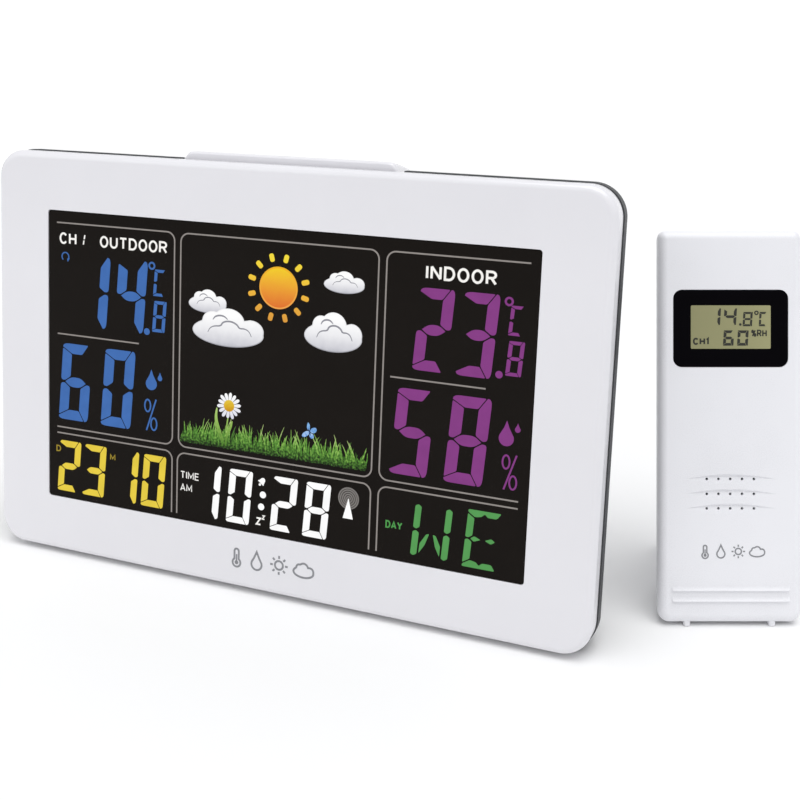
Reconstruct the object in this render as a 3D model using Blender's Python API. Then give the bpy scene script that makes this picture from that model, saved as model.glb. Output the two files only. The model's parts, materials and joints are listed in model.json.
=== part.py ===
"""Home weather station: a tabletop colour display unit and its outdoor sensor."""
import math

import bmesh
import bpy
from mathutils import Matrix

MM = 0.001
GAP = 0.3                  # clearance kept between neighbouring pieces, mm
SHARP = math.radians(35)   # edges steeper than this stay sharp

# ---- display unit, mm; front face at y=0, its lowest edge at z=0 ----
CASE_W, CASE_H, CASE_R = 199.0, 129.0, 9.0
FRAME_D = 6.5              # depth of the white front frame
FRAME_WALL = 2.2
PLATE_T = 2.4              # thickness of the frame's front plate
SCREEN_W, SCREEN_H, SCREEN_R = 160.0, 93.0, 0.9
SCREEN_Z = 64.5            # height of the screen's middle
REBATE_Y = 1.25
RIM_Y = FRAME_D + GAP      # where the rear case starts
WINDOW = (166.4, 99.4)     # clear window plate behind the front frame
GLASS_SIZE = (164.0, 97.0)
RIM_END = 10.5             # where the rear case starts to draw in
RIM_PROUD = 0.3            # how far the rear case's rim stands proud of the frame
REAR_Y = 28.0              # rear face of the case
REAR_WALL = 2.0
REAR_INSET = 6.0           # how far the case has drawn in at the rear face
LEAN = math.radians(6.0)
LIFT = 1.6                 # raises the lower front edge off the table
BOSS_X, BOSS_Z = 84.0, 55.3
BOARD_Y0, BOARD_Y1 = 10.2, 11.8

KEY_X = (-44.0, -22.0, 0.0, 22.0, 44.0)
KEY_Z = 104.0
KEY_W, KEY_H = 9.0, 5.5
JACK = (75.0, 31.0)              # x, z of the power inlet
SNOOZE_HALF, SNOOZE_TOP_HALF, SNOOZE_TOP = 36.5, 33.0, 131.4

CELL_R, CELL_L = 5.15, 43.6      # AAA cell
BAY_X = (-82.0, -34.0)
BAY_Z = (19.5, 54.5)
BAY_Y = 15.0
DOOR_T = 1.4

STAND_PIVOT = (30.4, 44.0)       # y, z of the leg's axle
STAND_HALF = 30.0
STAND_T = 2.8
STAND_ANGLE = math.radians(16.0)  # open leg from the vertical

# ---- outdoor sensor, mm; front face at y=0, lower edge of the body at z=0 ----
SEN_W, SEN_H, SEN_D, SEN_R = 41.2, 113.1, 20.0, 3.0
SEN_SPLIT = 9.7
SEN_WALL = 1.8
SEN_LEAN = math.radians(13.7)
SEN_TURN = math.radians(22.15)
SEN_LIFT = 1.5
SEN_HEEL = 0.25                  # rise of the sensor's underside towards the rear
SEN_DRAFT = 0.21                 # how much each side draws in for 1 mm of depth
SEN_PLACE = (132.55, 35.49)      # where the lower front edge's middle stands, x and y
SEN_WINDOW = (33.0, 22.2, 2.5, 84.95)
GRILLE_X = (-6.8, -3.4, 0.0, 3.4, 6.8)
GRILLE_Z = (41.5, 37.2, 33.0)
SEN_PIVOT = (22.2, 63.0)         # y, z of the leg's axle
SEN_LEG_ANGLE = math.radians(14.0)
SEN_CELL_X = 5.9
SEN_BAY_Z = (8.5, 55.5)
SEN_KEY_X, SEN_KEY_Z = (-8.0, 8.0), 92.0
SWITCH_X, SWITCH_Z = -3.2, 80.0

MIDDLE = (25.415, 43.737)        # plan centre of the whole set, moved to the origin
BASE = (Matrix.Translation((-MIDDLE[0] * MM, -MIDDLE[1] * MM, LIFT * MM))
        @ Matrix.Rotation(-LEAN, 4, 'X'))
SENSOR = (Matrix.Translation(((SEN_PLACE[0] - MIDDLE[0]) * MM, (SEN_PLACE[1] - MIDDLE[1]) * MM,
                              SEN_LIFT * MM))
          @ Matrix.Rotation(SEN_TURN, 4, 'Z') @ Matrix.Rotation(-SEN_LEAN, 4, 'X'))


# ---------------------------------------------------------------- shapes
def rounded(w, h, r, cx=0.0, cz=0.0, n=6):
    """Outline of a rounded rectangle in x and z, anticlockwise seen from the front."""
    pts = []
    for sx, sz, a0 in ((1, -1, -90), (1, 1, 0), (-1, 1, 90), (-1, -1, 180)):
        for i in range(n + 1):
            a = math.radians(a0 + 90.0 * i / n)
            pts.append((cx + sx * (w / 2 - r) + r * math.cos(a),
                        cz + sz * (h / 2 - r) + r * math.sin(a)))
    return pts


def loft(rings):
    """Closed solid through matching outlines; each ring is (outline, y)."""
    verts, faces = [], []
    n = len(rings[0][0])
    for pts, y in rings:
        verts += [(x, y, z) for x, z in pts]
    for k in range(len(rings) - 1):
        for i in range(n):
            j = (i + 1) % n
            faces.append((k * n + i, k * n + j, (k + 1) * n + j, (k + 1) * n + i))
    faces.append(tuple(reversed(range(n))))
    faces.append(tuple(range((len(rings) - 1) * n, len(rings) * n)))
    return verts, faces


def prism(pts, y0, y1):
    return loft([(pts, y0), (pts, y1)])


def box(x0, x1, y0, y1, z0, z1):
    return prism([(x0, z0), (x1, z0), (x1, z1), (x0, z1)], y0, y1)


def slab(w, h, r, y0, y1, cx=0.0, cz=0.0, n=4):
    return prism(rounded(w, h, r, cx, cz, n), y0, y1)


def lathe(profile, n=20):
    """Solid turned about the y axis; profile is (radius, y), first and last on the axis."""
    verts, faces = [(0.0, profile[0][1], 0.0)], []
    rings = profile[1:-1]
    for r, y in rings:
        for i in range(n):
            a = 2 * math.pi * i / n
            verts.append((r * math.cos(a), y, r * math.sin(a)))
    verts.append((0.0, profile[-1][1], 0.0))
    end = len(verts) - 1
    for i in range(n):
        j = (i + 1) % n
        faces.append((0, 1 + i, 1 + j))
        for k in range(len(rings) - 1):
            a, b = 1 + k * n, 1 + (k + 1) * n
            faces.append((a + i, b + i, b + j, a + j))
        last = 1 + (len(rings) - 1) * n
        faces.append((last + i, end, last + j))
    return verts, faces


def rod(r, y0, y1, n=20, at=(0.0, 0.0)):
    v, f = lathe([(0, y0), (r, y0), (r, y1), (0, y1)], n)
    return [(x + at[0], y, z + at[1]) for x, y, z in v], f


def turned(shape, axis, at=(0.0, 0.0, 0.0)):
    """Lay a shape made along y along x or z instead, then move it."""
    v, f = shape
    swap = {'X': lambda p: (p[1], -p[0], p[2]), 'Z': lambda p: (p[0], -p[2], p[1]),
            'Y': lambda p: p}[axis]
    return [tuple(a + b for a, b in zip(swap(p), at)) for p in v], f


def side(pts, x0, x1):
    """Extrude an outline in y and z along x."""
    n = len(pts)
    verts = [(x0, y, z) for y, z in pts] + [(x1, y, z) for y, z in pts]
    faces = [(i, (i + 1) % n, n + (i + 1) % n, n + i) for i in range(n)]
    return verts, faces + [tuple(reversed(range(n))), tuple(range(n, 2 * n))]


# ---------------------------------------------------------------- building
def clear_scene():
    for ob in list(bpy.data.objects):
        bpy.data.objects.remove(ob, do_unlink=True)


def mesh_of(name, shapes, origin):
    me = bpy.data.meshes.new(name)
    bm = bmesh.new()
    for verts, faces in shapes:
        vs = [bm.verts.new([(c - o) * MM for c, o in zip(p, origin)]) for p in verts]
        for f in faces:
            bm.faces.new([vs[i] for i in f])
    bmesh.ops.recalc_face_normals(bm, faces=bm.faces)
    bm.to_mesh(me)
    bm.free()
    return me


def material(name, rgb, rough, metal=0.0):
    mat = bpy.data.materials.new(name)
    mat.use_nodes = True
    bsdf = mat.node_tree.nodes['Principled BSDF']
    bsdf.inputs['Base Color'].default_value = (*rgb, 1.0)
    bsdf.inputs['Roughness'].default_value = rough
    bsdf.inputs['Metallic'].default_value = metal
    return mat


def piece(name, frame, look, shapes, steps=(), origin=(0.0, 0.0, 0.0), pose=None):
    """One named solid. steps are ('CUT' or 'ADD', shapes), applied in order."""
    place = frame @ Matrix.Translation([c * MM for c in origin])
    if pose is not None:
        place = place @ pose
    ob = bpy.data.objects.new(name, mesh_of(name, shapes, origin))
    ob.matrix_world = place
    ob.data.materials.append(material('mat_' + name, *look))
    bpy.context.scene.collection.objects.link(ob)
    for k, (kind, extra) in enumerate(steps):
        tool = bpy.data.objects.new('%s_tool%d' % (name, k),
                                    mesh_of('%s_tool%d' % (name, k), extra, origin))
        tool.matrix_world = place
        tool.hide_render = True
        tool.display_type = 'WIRE'
        bpy.context.scene.collection.objects.link(tool)
        mod = ob.modifiers.new('step%d' % k, 'BOOLEAN')
        mod.solver = 'EXACT'
        mod.operation = 'DIFFERENCE' if kind == 'CUT' else 'UNION'
        mod.object = tool
    if not steps:
        ob.data.shade_smooth()
        ob.data.set_sharp_from_angle(angle=SHARP)
    return ob


WHITE = ((0.75, 0.75, 0.77), 0.3)
DARK = ((0.08, 0.08, 0.09), 0.45)
GLASS = ((0.03, 0.03, 0.03), 0.08)
MILK = ((0.8, 0.8, 0.78), 0.5)
GREEN = ((0.02, 0.18, 0.06), 0.5)
METAL = ((0.7, 0.7, 0.68), 0.3, 1.0)
RUBBER = ((0.03, 0.03, 0.03), 0.8)
CELL = ((0.1, 0.25, 0.12), 0.35)
CHIP = ((0.02, 0.02, 0.02), 0.6)
FERRITE = ((0.06, 0.06, 0.07), 0.6)
COPPER = ((0.7, 0.3, 0.12), 0.35, 1.0)
LCD = ((0.2, 0.2, 0.12), 0.3)


def ring(w, h, r, inset, y, cz, n=8):
    return rounded(w - 2 * inset, h - 2 * inset, max(r - inset, 0.4), 0.0, cz, n), y


def case_ring(inset, y):
    return ring(CASE_W, CASE_H, CASE_R, inset, y, CASE_H / 2)


def corners():
    return [(sx * BOSS_X, SCREEN_Z + sz * BOSS_Z) for sx in (-1, 1) for sz in (-1, 1)]


# ---------------------------------------------------------------- display unit
def front_frame():
    shell = loft([case_ring(1.5, 0.0), case_ring(0.45, 0.4), case_ring(0.0, 1.5),
                  case_ring(0.0, FRAME_D)])
    hollow = loft([case_ring(FRAME_WALL, PLATE_T), case_ring(FRAME_WALL, FRAME_D + 1)])
    view = slab(SCREEN_W, SCREEN_H, SCREEN_R, -1, 4, 0, SCREEN_Z)
    rebate = slab(SCREEN_W + 7, SCREEN_H + 7, 1.5, REBATE_Y, 4, 0, SCREEN_Z)
    bosses = [rod(3.0, PLATE_T - 0.6, 20.0, 16, at) for at in corners()]
    holes = [rod(1.5, 6.0, 21.0, 12, at) for at in corners()]
    piece('front_frame', BASE, WHITE, [shell],
          [('CUT', [hollow]), ('CUT', [view]), ('CUT', [rebate]), ('ADD', bosses), ('CUT', holes)])


def display_stack():
    raised = slab(SCREEN_W - 2 * GAP, SCREEN_H - 2 * GAP, SCREEN_R, 0.25, REBATE_Y + 0.5, 0, SCREEN_Z)
    piece('display_window', BASE, GLASS,
          [slab(*WINDOW, 1.2, REBATE_Y + GAP, 2.65, 0, SCREEN_Z)], [('ADD', [raised])])
    piece('lcd_glass', BASE, LCD, [slab(*GLASS_SIZE, 0.6, 2.95, 5.15, 0, SCREEN_Z)])
    carrier = slab(170, 103, 2.0, 2.95, 9.5, 0, SCREEN_Z)
    pocket = slab(GLASS_SIZE[0] + 0.8, GLASS_SIZE[1] + 0.8, 0.8, 1.0, 8.0, 0, SCREEN_Z)
    slots = [box(a, b, 7.0, 11.0, 16.4, 19.8) for a, b in ((-60, -6), (6, 60))]
    piece('lcd_carrier', BASE, MILK, [carrier], [('CUT', [pocket]), ('CUT', slots)])
    piece('light_guide', BASE, MILK, [slab(161, 89.5, 0.8, 5.45, 7.7, 0, 65.6)])
    for k, (a, b) in enumerate(((-58, -8), (8, 58)), 1):
        piece('elastomer_strip_%d' % k, BASE, RUBBER, [box(a, b, 5.45, 9.9, 17.0, 19.2)])


def electronics():
    piece('main_board', BASE, GREEN, [slab(164, 100, 2.0, BOARD_Y0, BOARD_Y1, 0, SCREEN_Z)])
    on = BOARD_Y1 + GAP
    piece('control_chip', BASE, CHIP, [slab(14, 14, 0.5, on, on + 1.6, -8, 70)])
    piece('radio_module', BASE, METAL, [slab(20, 15, 0.8, on, on + 2.8, -28, 88)])
    piece('buzzer', BASE, CHIP, [rod(6.0, on, on + 6.0, 24, (18, 88))])
    piece('indoor_sensor', BASE, MILK, [slab(8, 12, 0.6, on, on + 3.0, 74, 76)])
    piece('antenna_rod', BASE, FERRITE,
          [turned(rod(3.5, -26, 26, 20), 'X', (38, 17.2, 56))])
    tube = turned(rod(5.0, -11, 11, 20), 'X', (38, 17.2, 56))
    bore = turned(rod(3.8, -12, 12, 20), 'X', (38, 17.2, 56))
    piece('antenna_coil', BASE, COPPER, [tube], [('CUT', [bore])])
    jack = box(70.5, 79.5, on, 26.0 - GAP, 26, 36)
    barrel = rod(4.0, 22, REAR_Y - 0.2, 24, JACK)
    socket = rod(2.8, 18.0, 30.0, 20, JACK)
    pin = rod(0.95, 17.0, 27.0, 12, JACK)
    piece('power_jack', BASE, CHIP, [jack], [('ADD', [barrel]), ('CUT', [socket]), ('ADD', [pin])])
    piece('snooze_switch', BASE, CHIP, [slab(6, 6, 0.4, on, on + 4.5, 0, 115)])
    for k, x in enumerate(KEY_X, 1):
        piece('key_switch_%d' % k, BASE, CHIP, [slab(6, 6, 0.4, on, on + 3.0, x, KEY_Z)])


def rear_case():
    top = CASE_H
    outer = loft([case_ring(-RIM_PROUD, RIM_Y), case_ring(-RIM_PROUD, RIM_END),
                  case_ring(REAR_INSET - 1.3, 26.4),
                  case_ring(REAR_INSET, 27.5), case_ring(REAR_INSET + 1.2, REAR_Y)])
    hollow = loft([case_ring(FRAME_WALL, RIM_Y - 1), case_ring(FRAME_WALL, RIM_END),
                   case_ring(REAR_INSET + 0.9, REAR_Y - REAR_WALL)])
    bay_box = box(BAY_X[0] - 1.5, BAY_X[1] + 1.5, BAY_Y - 1.5, 27.0, BAY_Z[0] - 1.5, BAY_Z[1] + 1.5)
    backing = box(-92.0, BAY_X[1] + 4, 24.4, 27.0, BAY_Z[0] - 4, BAY_Z[1] + 4)
    tubes = [rod(3.0, 20.0 + GAP, 27.0, 16, at) for at in corners()]
    lugs = [side([(27.5, 39.5), (32.6, 41.8), (33.2, 44.0), (32.6, 46.2), (27.5, 48.5)], a, b)
            for a, b in ((-35.0, -31.0), (31.0, 35.0))]
    bay = box(BAY_X[0], BAY_X[1], BAY_Y, 30, BAY_Z[0], BAY_Z[1])
    recess = box(-110.0, BAY_X[1] + 2.3, REAR_Y - DOOR_T - 0.4, 30, BAY_Z[0] - 2.3, BAY_Z[1] + 2.3)
    shanks = [rod(1.5, 19.0, 30.0, 12, at) for at in corners()]
    heads = [rod(2.9, 25.8, 30.0, 16, at) for at in corners()]
    axle = turned(rod(1.9, -40, 40, 16), 'X', (0, STAND_PIVOT[0], STAND_PIVOT[1]))
    keys = [slab(KEY_W + 0.7, KEY_H + 0.7, 2.9, 24, 30, x, KEY_Z, 5) for x in KEY_X]
    notch_y = (RIM_Y - 1.0, 21.0)
    notch = prism([(-37.2, top - 9), (37.2, top - 9), (37.2, top + 4), (-37.2, top + 4)], *notch_y)
    jack = rod(4.4, 24, 30, 24, JACK)
    vents = [slab(16, 1.8, 0.85, 24, 30, 74, 60 + 4.5 * i, 3) for i in range(8)]
    sound = [slab(1.8, 12, 0.85, 24, 30, -69 + 4.5 * i, 80, 3) for i in range(5)]
    keyholes = []
    for x in (-66.0, 66.0):
        keyholes += [rod(3.7, 26.8, 30, 20, (x, 102.0)), slab(3.8, 9, 1.8, 26.8, 30, x, 106.0, 4)]
    piece('rear_case', BASE, DARK, [outer],
          [('CUT', [hollow]), ('ADD', [backing]), ('ADD', [bay_box]), ('ADD', tubes + lugs),
           ('CUT', [recess]), ('CUT', [bay]), ('CUT', shanks), ('CUT', heads), ('CUT', [axle]),
           ('CUT', keys + [jack, notch] + vents + sound), ('CUT', keyholes[0::2]),
           ('CUT', keyholes[1::2])])


def cell(name, frame, axis, at, flip=1):
    half = CELL_L / 2
    prof = [(0, -half), (4.4, -half), (CELL_R, -half + 0.5), (CELL_R, half - 0.5),
            (4.6, half), (1.9, half), (1.9, half + 0.9), (0, half + 0.9)]
    if flip < 0:
        prof = [(r, -y) for r, y in reversed(prof)]
    piece(name, frame, CELL, [turned(lathe(prof, 20), axis, at)])


def power():
    mid = (BAY_X[0] + BAY_X[1]) / 2
    cy = BAY_Y + GAP + CELL_R
    for k in range(3):
        cell('battery_%d' % (k + 1), BASE, 'X', (mid, cy, 25.4 + 11.6 * k), 1 if k % 2 else -1)
    for k, (a, b) in enumerate(((BAY_X[0] + GAP, BAY_X[0] + 0.7), (BAY_X[1] - 0.7, BAY_X[1] - GAP)), 1):
        piece('battery_contact_%d' % k, BASE, METAL,
              [box(a, b, BAY_Y + GAP, 25.6, BAY_Z[0] + 0.6, BAY_Z[1] - 0.6)])


def fasteners():
    for k, at in enumerate(corners(), 1):
        head = [(0, 8.5), (1.2, 8.5), (1.2, 26.2), (2.6, 26.2), (2.6, 27.4), (2.0, 27.9), (0, 27.9)]
        v, f = lathe(head, 16)
        piece('case_screw_%d' % k, BASE, METAL, [([(x + at[0], y, z + at[1]) for x, y, z in v], f)])
    s, c = math.sin(LEAN), math.cos(LEAN)
    slope = (REAR_INSET - 1.3) / (26.4 - RIM_END)

    def under(y):
        return slope * (y - RIM_END) - 0.35

    def floor(y):
        return (y * s - LIFT) / c
    for name, x in (('foot_left', -68.0), ('foot_right', 68.0)):
        pts = [(11.2, floor(11.2)), (18.8, floor(18.8)), (18.8, under(18.8)), (11.2, under(11.2))]
        piece(name, BASE, RUBBER, [side(pts, x - 9, x + 9)])


def moving_console():
    half, tip, zt = SNOOZE_HALF, SNOOZE_TOP_HALF, SNOOZE_TOP

    def section(shoulder, corner, top):
        right = [(half, shoulder), (tip + 0.5, zt - corner), (tip - 0.6, zt - top)]
        return [(-half, 123.6), (half, 123.6)] + right + [(-x, z) for x, z in reversed(right)]
    bar = loft([(section(127.6, 0.6, 0.1), 7.1), (section(127.6, 0.2, 0.0), 8.4),
                (section(126.4, 2.6, 2.0), 20.6)])
    flange = box(-39.4, 39.4, 9.2, 19.6, 121.4, 123.0)
    flange_up = box(-35.0, 35.0, 9.6, 19.2, 122.6, 124.2)
    stem = box(-3.0, 3.0, 12.6, 16.2, 119.6, 122.0)
    piece('snooze_bar', BASE, WHITE, [bar], [('ADD', [flange_up]), ('ADD', [flange]), ('ADD', [stem])],
          origin=(0, 13.6, 126))
    for k, x in enumerate(KEY_X, 1):
        cap = loft([(rounded(KEY_W, KEY_H, 2.6, x, KEY_Z, 5), 25.4),
                    (rounded(KEY_W, KEY_H, 2.6, x, KEY_Z, 5), 28.5),
                    (rounded(KEY_W - 0.7, KEY_H - 0.7, 2.3, x, KEY_Z, 5), 28.9)])
        piece('key_%d' % k, BASE, WHITE, [cap],
              [('ADD', [slab(KEY_W + 2.4, KEY_H + 2.4, 1.0, 24.0, 25.6, x, KEY_Z)]),
               ('ADD', [rod(1.8, 16.2, 24.4, 12, (x, KEY_Z))])], origin=(x, 28.0, KEY_Z))
    z0, z1 = BAY_Z[0] - 2.0, BAY_Z[1] + 2.0
    door = box(-91.6, BAY_X[1] + 2.0, REAR_Y - DOOR_T - 0.1, REAR_Y - 0.1, z0, z1)
    grip = [box(-87 + 3 * i, -85.6 + 3 * i, REAR_Y - 0.2, REAR_Y + 0.5, 30, 44) for i in range(4)]
    piece('battery_door', BASE, DARK, [door], [('ADD', grip)], origin=(-62, REAR_Y - 0.8, 37))
    leg('stand', BASE, STAND_PIVOT, STAND_HALF, STAND_T, STAND_ANGLE, LEAN, LIFT, 34.4, 1.5, DARK)


def leg(name, frame, pivot, half, thick, angle, lean, lift, axle_half, axle_r, look):
    """A flap hung from an axle, built open, with its end face flat on the table."""
    high = -pivot[0] * math.sin(lean) + pivot[1] * math.cos(lean) + lift
    t = thick / 2

    def end(v):
        return (high + v * math.sin(angle)) / math.cos(angle)
    py, pz = pivot
    n = 6
    cap = [(t * math.cos(a), t * math.sin(a)) for a in [math.pi * i / n for i in range(n + 1)]]
    pts = [(py + a, pz + b) for a, b in cap]
    pts += [(py - t, pz - end(-t)), (py + t, pz - end(t))]
    slot = prism([(-half * 0.55, pz - 12), (half * 0.55, pz - 12), (half * 0.45, pz - high * 0.62),
                  (-half * 0.45, pz - high * 0.62)], py + t - 0.9, py + t + 2)
    axle = turned(rod(axle_r, -axle_half, axle_half, 16), 'X', (0, py, pz))
    body = side(pts, -half, half)
    return piece(name, frame, look, [body], [('ADD', [axle]), ('CUT', [slot])],
                 origin=(0, py, pz), pose=Matrix.Rotation(angle + lean, 4, 'X'))


# ---------------------------------------------------------------- outdoor sensor
def sen_ring(inset, y):
    deep = max(0.0, y - 3.0)
    low = deep * SEN_HEEL
    return ring(SEN_W - 2 * deep * SEN_DRAFT, SEN_H - low, SEN_R, inset, y, (SEN_H + low) / 2, 5)


def scoop(z, half=13.0, depth=0.6, steps=8):
    """Shallow brow-shaped hollow over a row of holes, tapering out to both ends."""
    verts, faces = [], []
    for i in range(steps + 1):
        x = half * (2 * i / steps - 1)
        k = max(1 - (x / half) ** 2, 0.06)
        verts += [(x, -0.6, z + 2.9 * k), (x, depth * k, z + 0.3), (x, -0.6, z - 3.4 * k)]
    for i in range(steps):
        for j in range(3):
            a, b = 3 * i + j, 3 * i + (j + 1) % 3
            faces.append((a, b, b + 3, a + 3))
    faces += [(0, 2, 1), (3 * steps, 3 * steps + 1, 3 * steps + 2)]
    return verts, faces


def sensor_front():
    shell = loft([sen_ring(1.9, 0.0), sen_ring(0.6, 0.5), sen_ring(0.0, 2.0), sen_ring(0.0, 3.0),
                  sen_ring(0.0, SEN_SPLIT)])
    hollow = loft([sen_ring(SEN_WALL, SEN_WALL), sen_ring(SEN_WALL, 3.0),
                   sen_ring(SEN_WALL, SEN_SPLIT + 1)])
    s, c = math.sin(SEN_LEAN), math.cos(SEN_LEAN)
    foot = [(0.9, 1.0), (0.9, (0.9 * s - SEN_LIFT) / c), (3.9, (3.9 * s - SEN_LIFT) / c), (3.9, 1.6)]
    pegs = [side(foot, x - 0.9, x + 0.9) for x in (-12.3, 12.3)]
    w, h, r, cz = SEN_WINDOW
    seat = slab(w + 0.6, h + 0.6, r + 0.3, -1, 1.2, 0, cz)
    view = slab(27, 16, 1.0, -1, 3, 0, cz + 0.4)
    holes = [rod(0.65, -1, 3, 8, (x, z)) for z in GRILLE_Z for x in GRILLE_X]
    scoops = [scoop(z) for z in GRILLE_Z]
    ribs = [box(-16.6, 16.6, -0.6, 0.4, z - 0.7, z + 0.7) for z in (10.0, 6.9)]
    piece('sensor_front_shell', SENSOR, WHITE, [shell],
          [('CUT', [hollow]), ('CUT', [seat]), ('CUT', [view]), ('CUT', scoops), ('CUT', holes),
           ('ADD', pegs + ribs)])
    piece('sensor_window', SENSOR, GLASS, [slab(w, h, r, 0.05, 0.9, 0, cz)])
    piece('sensor_lcd', SENSOR, LCD, [slab(29, 18, 0.5, 2.1, 3.9, 0, cz + 0.4)])
    piece('sensor_board', SENSOR, GREEN, [slab(35, 101, 1.0, 4.2, 5.4, 0, 55.5)])
    piece('sensor_probe', SENSOR, MILK, [slab(5, 8, 0.5, 2.2, 3.9, 0, 37.2)])
    piece('sensor_antenna', SENSOR, COPPER, [turned(rod(0.8, -19, 19, 10), 'Z', (14.5, 7.6, 84))])


def sensor_rear():
    y0 = SEN_SPLIT + GAP
    outer = loft([sen_ring(0, y0), sen_ring(0, 18.4), sen_ring(0.5, 19.5), sen_ring(1.6, SEN_D)])
    hollow = loft([sen_ring(SEN_WALL, y0 - 1), sen_ring(SEN_WALL, 18.2)])
    za, zb = SEN_BAY_Z
    bay_box = box(-13.8, 13.8, 6.3, 18.6, za - 1.5, zb + 1.5)
    backing = box(-15.5, 15.5, 16.8, 18.6, 5.4, 60.5)
    lugs = [side([(19.4, 58.6), (24.2, 60.8), (24.8, 63.0), (24.2, 65.2), (19.4, 67.4)], a, b)
            for a, b in ((-13.0, -10.2), (10.2, 13.0))]
    bay = box(-12.3, 12.3, 7.5, 22, za, zb)
    recess = box(-14.0, 14.0, 18.3, 22, -2, 59.0)
    axle = turned(rod(1.6, -14, 14, 16), 'X', (0, SEN_PIVOT[0], SEN_PIVOT[1]))
    slot = slab(12, 4.0, 0.3, 17, 22, 0, SWITCH_Z)
    caps = [rod(2.5, 17, 22, 16, (x, SEN_KEY_Z)) for x in SEN_KEY_X]
    hang = [rod(2.6, 18.9, 22, 16, (0, 101.0)), slab(2.8, 7, 1.3, 18.9, 22, 0, 104.0, 4)]
    piece('sensor_rear_shell', SENSOR, WHITE, [outer],
          [('CUT', [hollow]), ('ADD', [backing]), ('ADD', [bay_box]), ('ADD', lugs),
           ('CUT', [recess]), ('CUT', [bay]), ('CUT', [axle, slot] + caps),
           ('CUT', hang[:1]), ('CUT', hang[1:])])
    for k, x in enumerate((-SEN_CELL_X, SEN_CELL_X), 1):
        cell('sensor_battery_%d' % k, SENSOR, 'Z', (x, 12.95, 31.9), 1 if k == 1 else -1)
    for k, (a, b) in enumerate(((za + GAP, za + 0.7), (zb - 0.7, zb - GAP)), 1):
        piece('sensor_contact_%d' % k, SENSOR, METAL, [box(-11.6, 11.6, 7.8, 17.6, a, b)])
    door = box(-13.7, 13.7, 18.65, 19.95, 5.0, 58.7)
    grip = [box(-6, 6, 19.8, 20.5, 10 + 2.4 * i, 11 + 2.4 * i) for i in range(4)]
    piece('sensor_door', SENSOR, WHITE, [door], [('ADD', grip)], origin=(0, 19.3, 30))
    leg('sensor_stand', SENSOR, SEN_PIVOT, 9.6, 2.4, SEN_LEG_ANGLE, SEN_LEAN, SEN_LIFT, 12.6, 1.2, WHITE)
    knob = [slab(4.0, 3.3, 0.4, 17.4, 20.6, SWITCH_X, SWITCH_Z)]
    base = [slab(9.5, 6.4, 0.4, 15.4, 17.8, SWITCH_X, SWITCH_Z)]
    piece('channel_switch', SENSOR, CHIP, knob, [('ADD', base)], origin=(SWITCH_X, 20, SWITCH_Z))
    for name, x in zip(('sensor_key_send', 'sensor_key_unit'), SEN_KEY_X):
        piece(name, SENSOR, DARK, [rod(2.1, 15.8, 20.3, 16, (x, SEN_KEY_Z))],
              [('ADD', [rod(3.2, 15.4, 17.6, 16, (x, SEN_KEY_Z))])], origin=(x, 19, SEN_KEY_Z))


def main():
    clear_scene()
    front_frame()
    display_stack()
    electronics()
    rear_case()
    power()
    fasteners()
    moving_console()
    sensor_front()
    sensor_rear()


main()
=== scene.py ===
"""Home weather station: the looks of a tabletop colour display and of its outdoor sensor.

Every piece is built in millimetres in its own body's frame: x to the right, y to the rear, z up,
with the front face at y = 0 and the lower edge at z = 0. Two places, DISPLAY and SENSOR, carry
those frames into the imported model, and both come from its joints.
"""

import json
import math
import random

import bmesh
import bpy
from mathutils import Matrix, Vector


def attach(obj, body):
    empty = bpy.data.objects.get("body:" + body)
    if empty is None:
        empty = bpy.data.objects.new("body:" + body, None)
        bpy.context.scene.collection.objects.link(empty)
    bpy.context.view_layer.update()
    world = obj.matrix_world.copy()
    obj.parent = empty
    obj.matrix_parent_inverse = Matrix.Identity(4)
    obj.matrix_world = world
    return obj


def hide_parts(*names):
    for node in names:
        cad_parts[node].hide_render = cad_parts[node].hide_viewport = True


bl_info = {
    "name": "Home weather station",
    "version": (1, 0, 0),
    "blender": (4, 5, 0),
    "location": "View3D > Sidebar > Station",
    "description": "Builds the visible pieces of a home weather station on its packed frame",
    "category": "Object",
}

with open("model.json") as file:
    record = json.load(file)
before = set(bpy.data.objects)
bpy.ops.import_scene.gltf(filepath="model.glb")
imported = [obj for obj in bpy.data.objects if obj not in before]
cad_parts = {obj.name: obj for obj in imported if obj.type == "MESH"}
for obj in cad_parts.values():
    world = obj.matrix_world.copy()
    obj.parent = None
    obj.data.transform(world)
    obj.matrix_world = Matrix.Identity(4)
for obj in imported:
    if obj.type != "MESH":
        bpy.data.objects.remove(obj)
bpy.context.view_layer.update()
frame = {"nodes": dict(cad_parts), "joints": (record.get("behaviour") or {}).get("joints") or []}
MM = 0.001
JOINTS = {joint["name"]: joint for joint in frame["joints"]}


# ---------------------------------------------------------------- places and sizes
def axis(joint, sign=1):
    """A joint's direction as a unit vector."""
    return (Vector(JOINTS[joint]["axis"]) * sign).normalized()


def body_place(right, back, up, hinge, behind, above):
    """Frame of a body whose leg's axle lies behind and above its lower front edge, in mm."""
    start = Vector(JOINTS[hinge]["pos_m"]) - back * behind * MM - up * above * MM
    return Matrix.Translation(start) @ Matrix((right, back, up)).transposed().to_4x4()


LEG_AXLE, SEN_LEG_AXLE = (30.4, 44.0), (22.2, 63.0)    # y and z of each leg's axle in its body
DISPLAY = body_place(Vector((1, 0, 0)), axis("key_1_press", -1), axis("snooze_press", -1),
                     "stand_hinge", *LEG_AXLE)
SENSOR = body_place(axis("channel_slide"), axis("sensor_key_send_press", -1),
                    axis("sensor_door_slide", -1), "sensor_stand_hinge", *SEN_LEG_AXLE)


def span(node, place):
    """Lowest and highest x, y and z of a CAD node in a body's frame, in mm."""
    turn = place.inverted()
    points = [turn @ v.co for v in frame["nodes"][node].data.vertices]
    return [(min(p[i] for p in points) / MM, max(p[i] for p in points) / MM) for i in range(3)]


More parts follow.
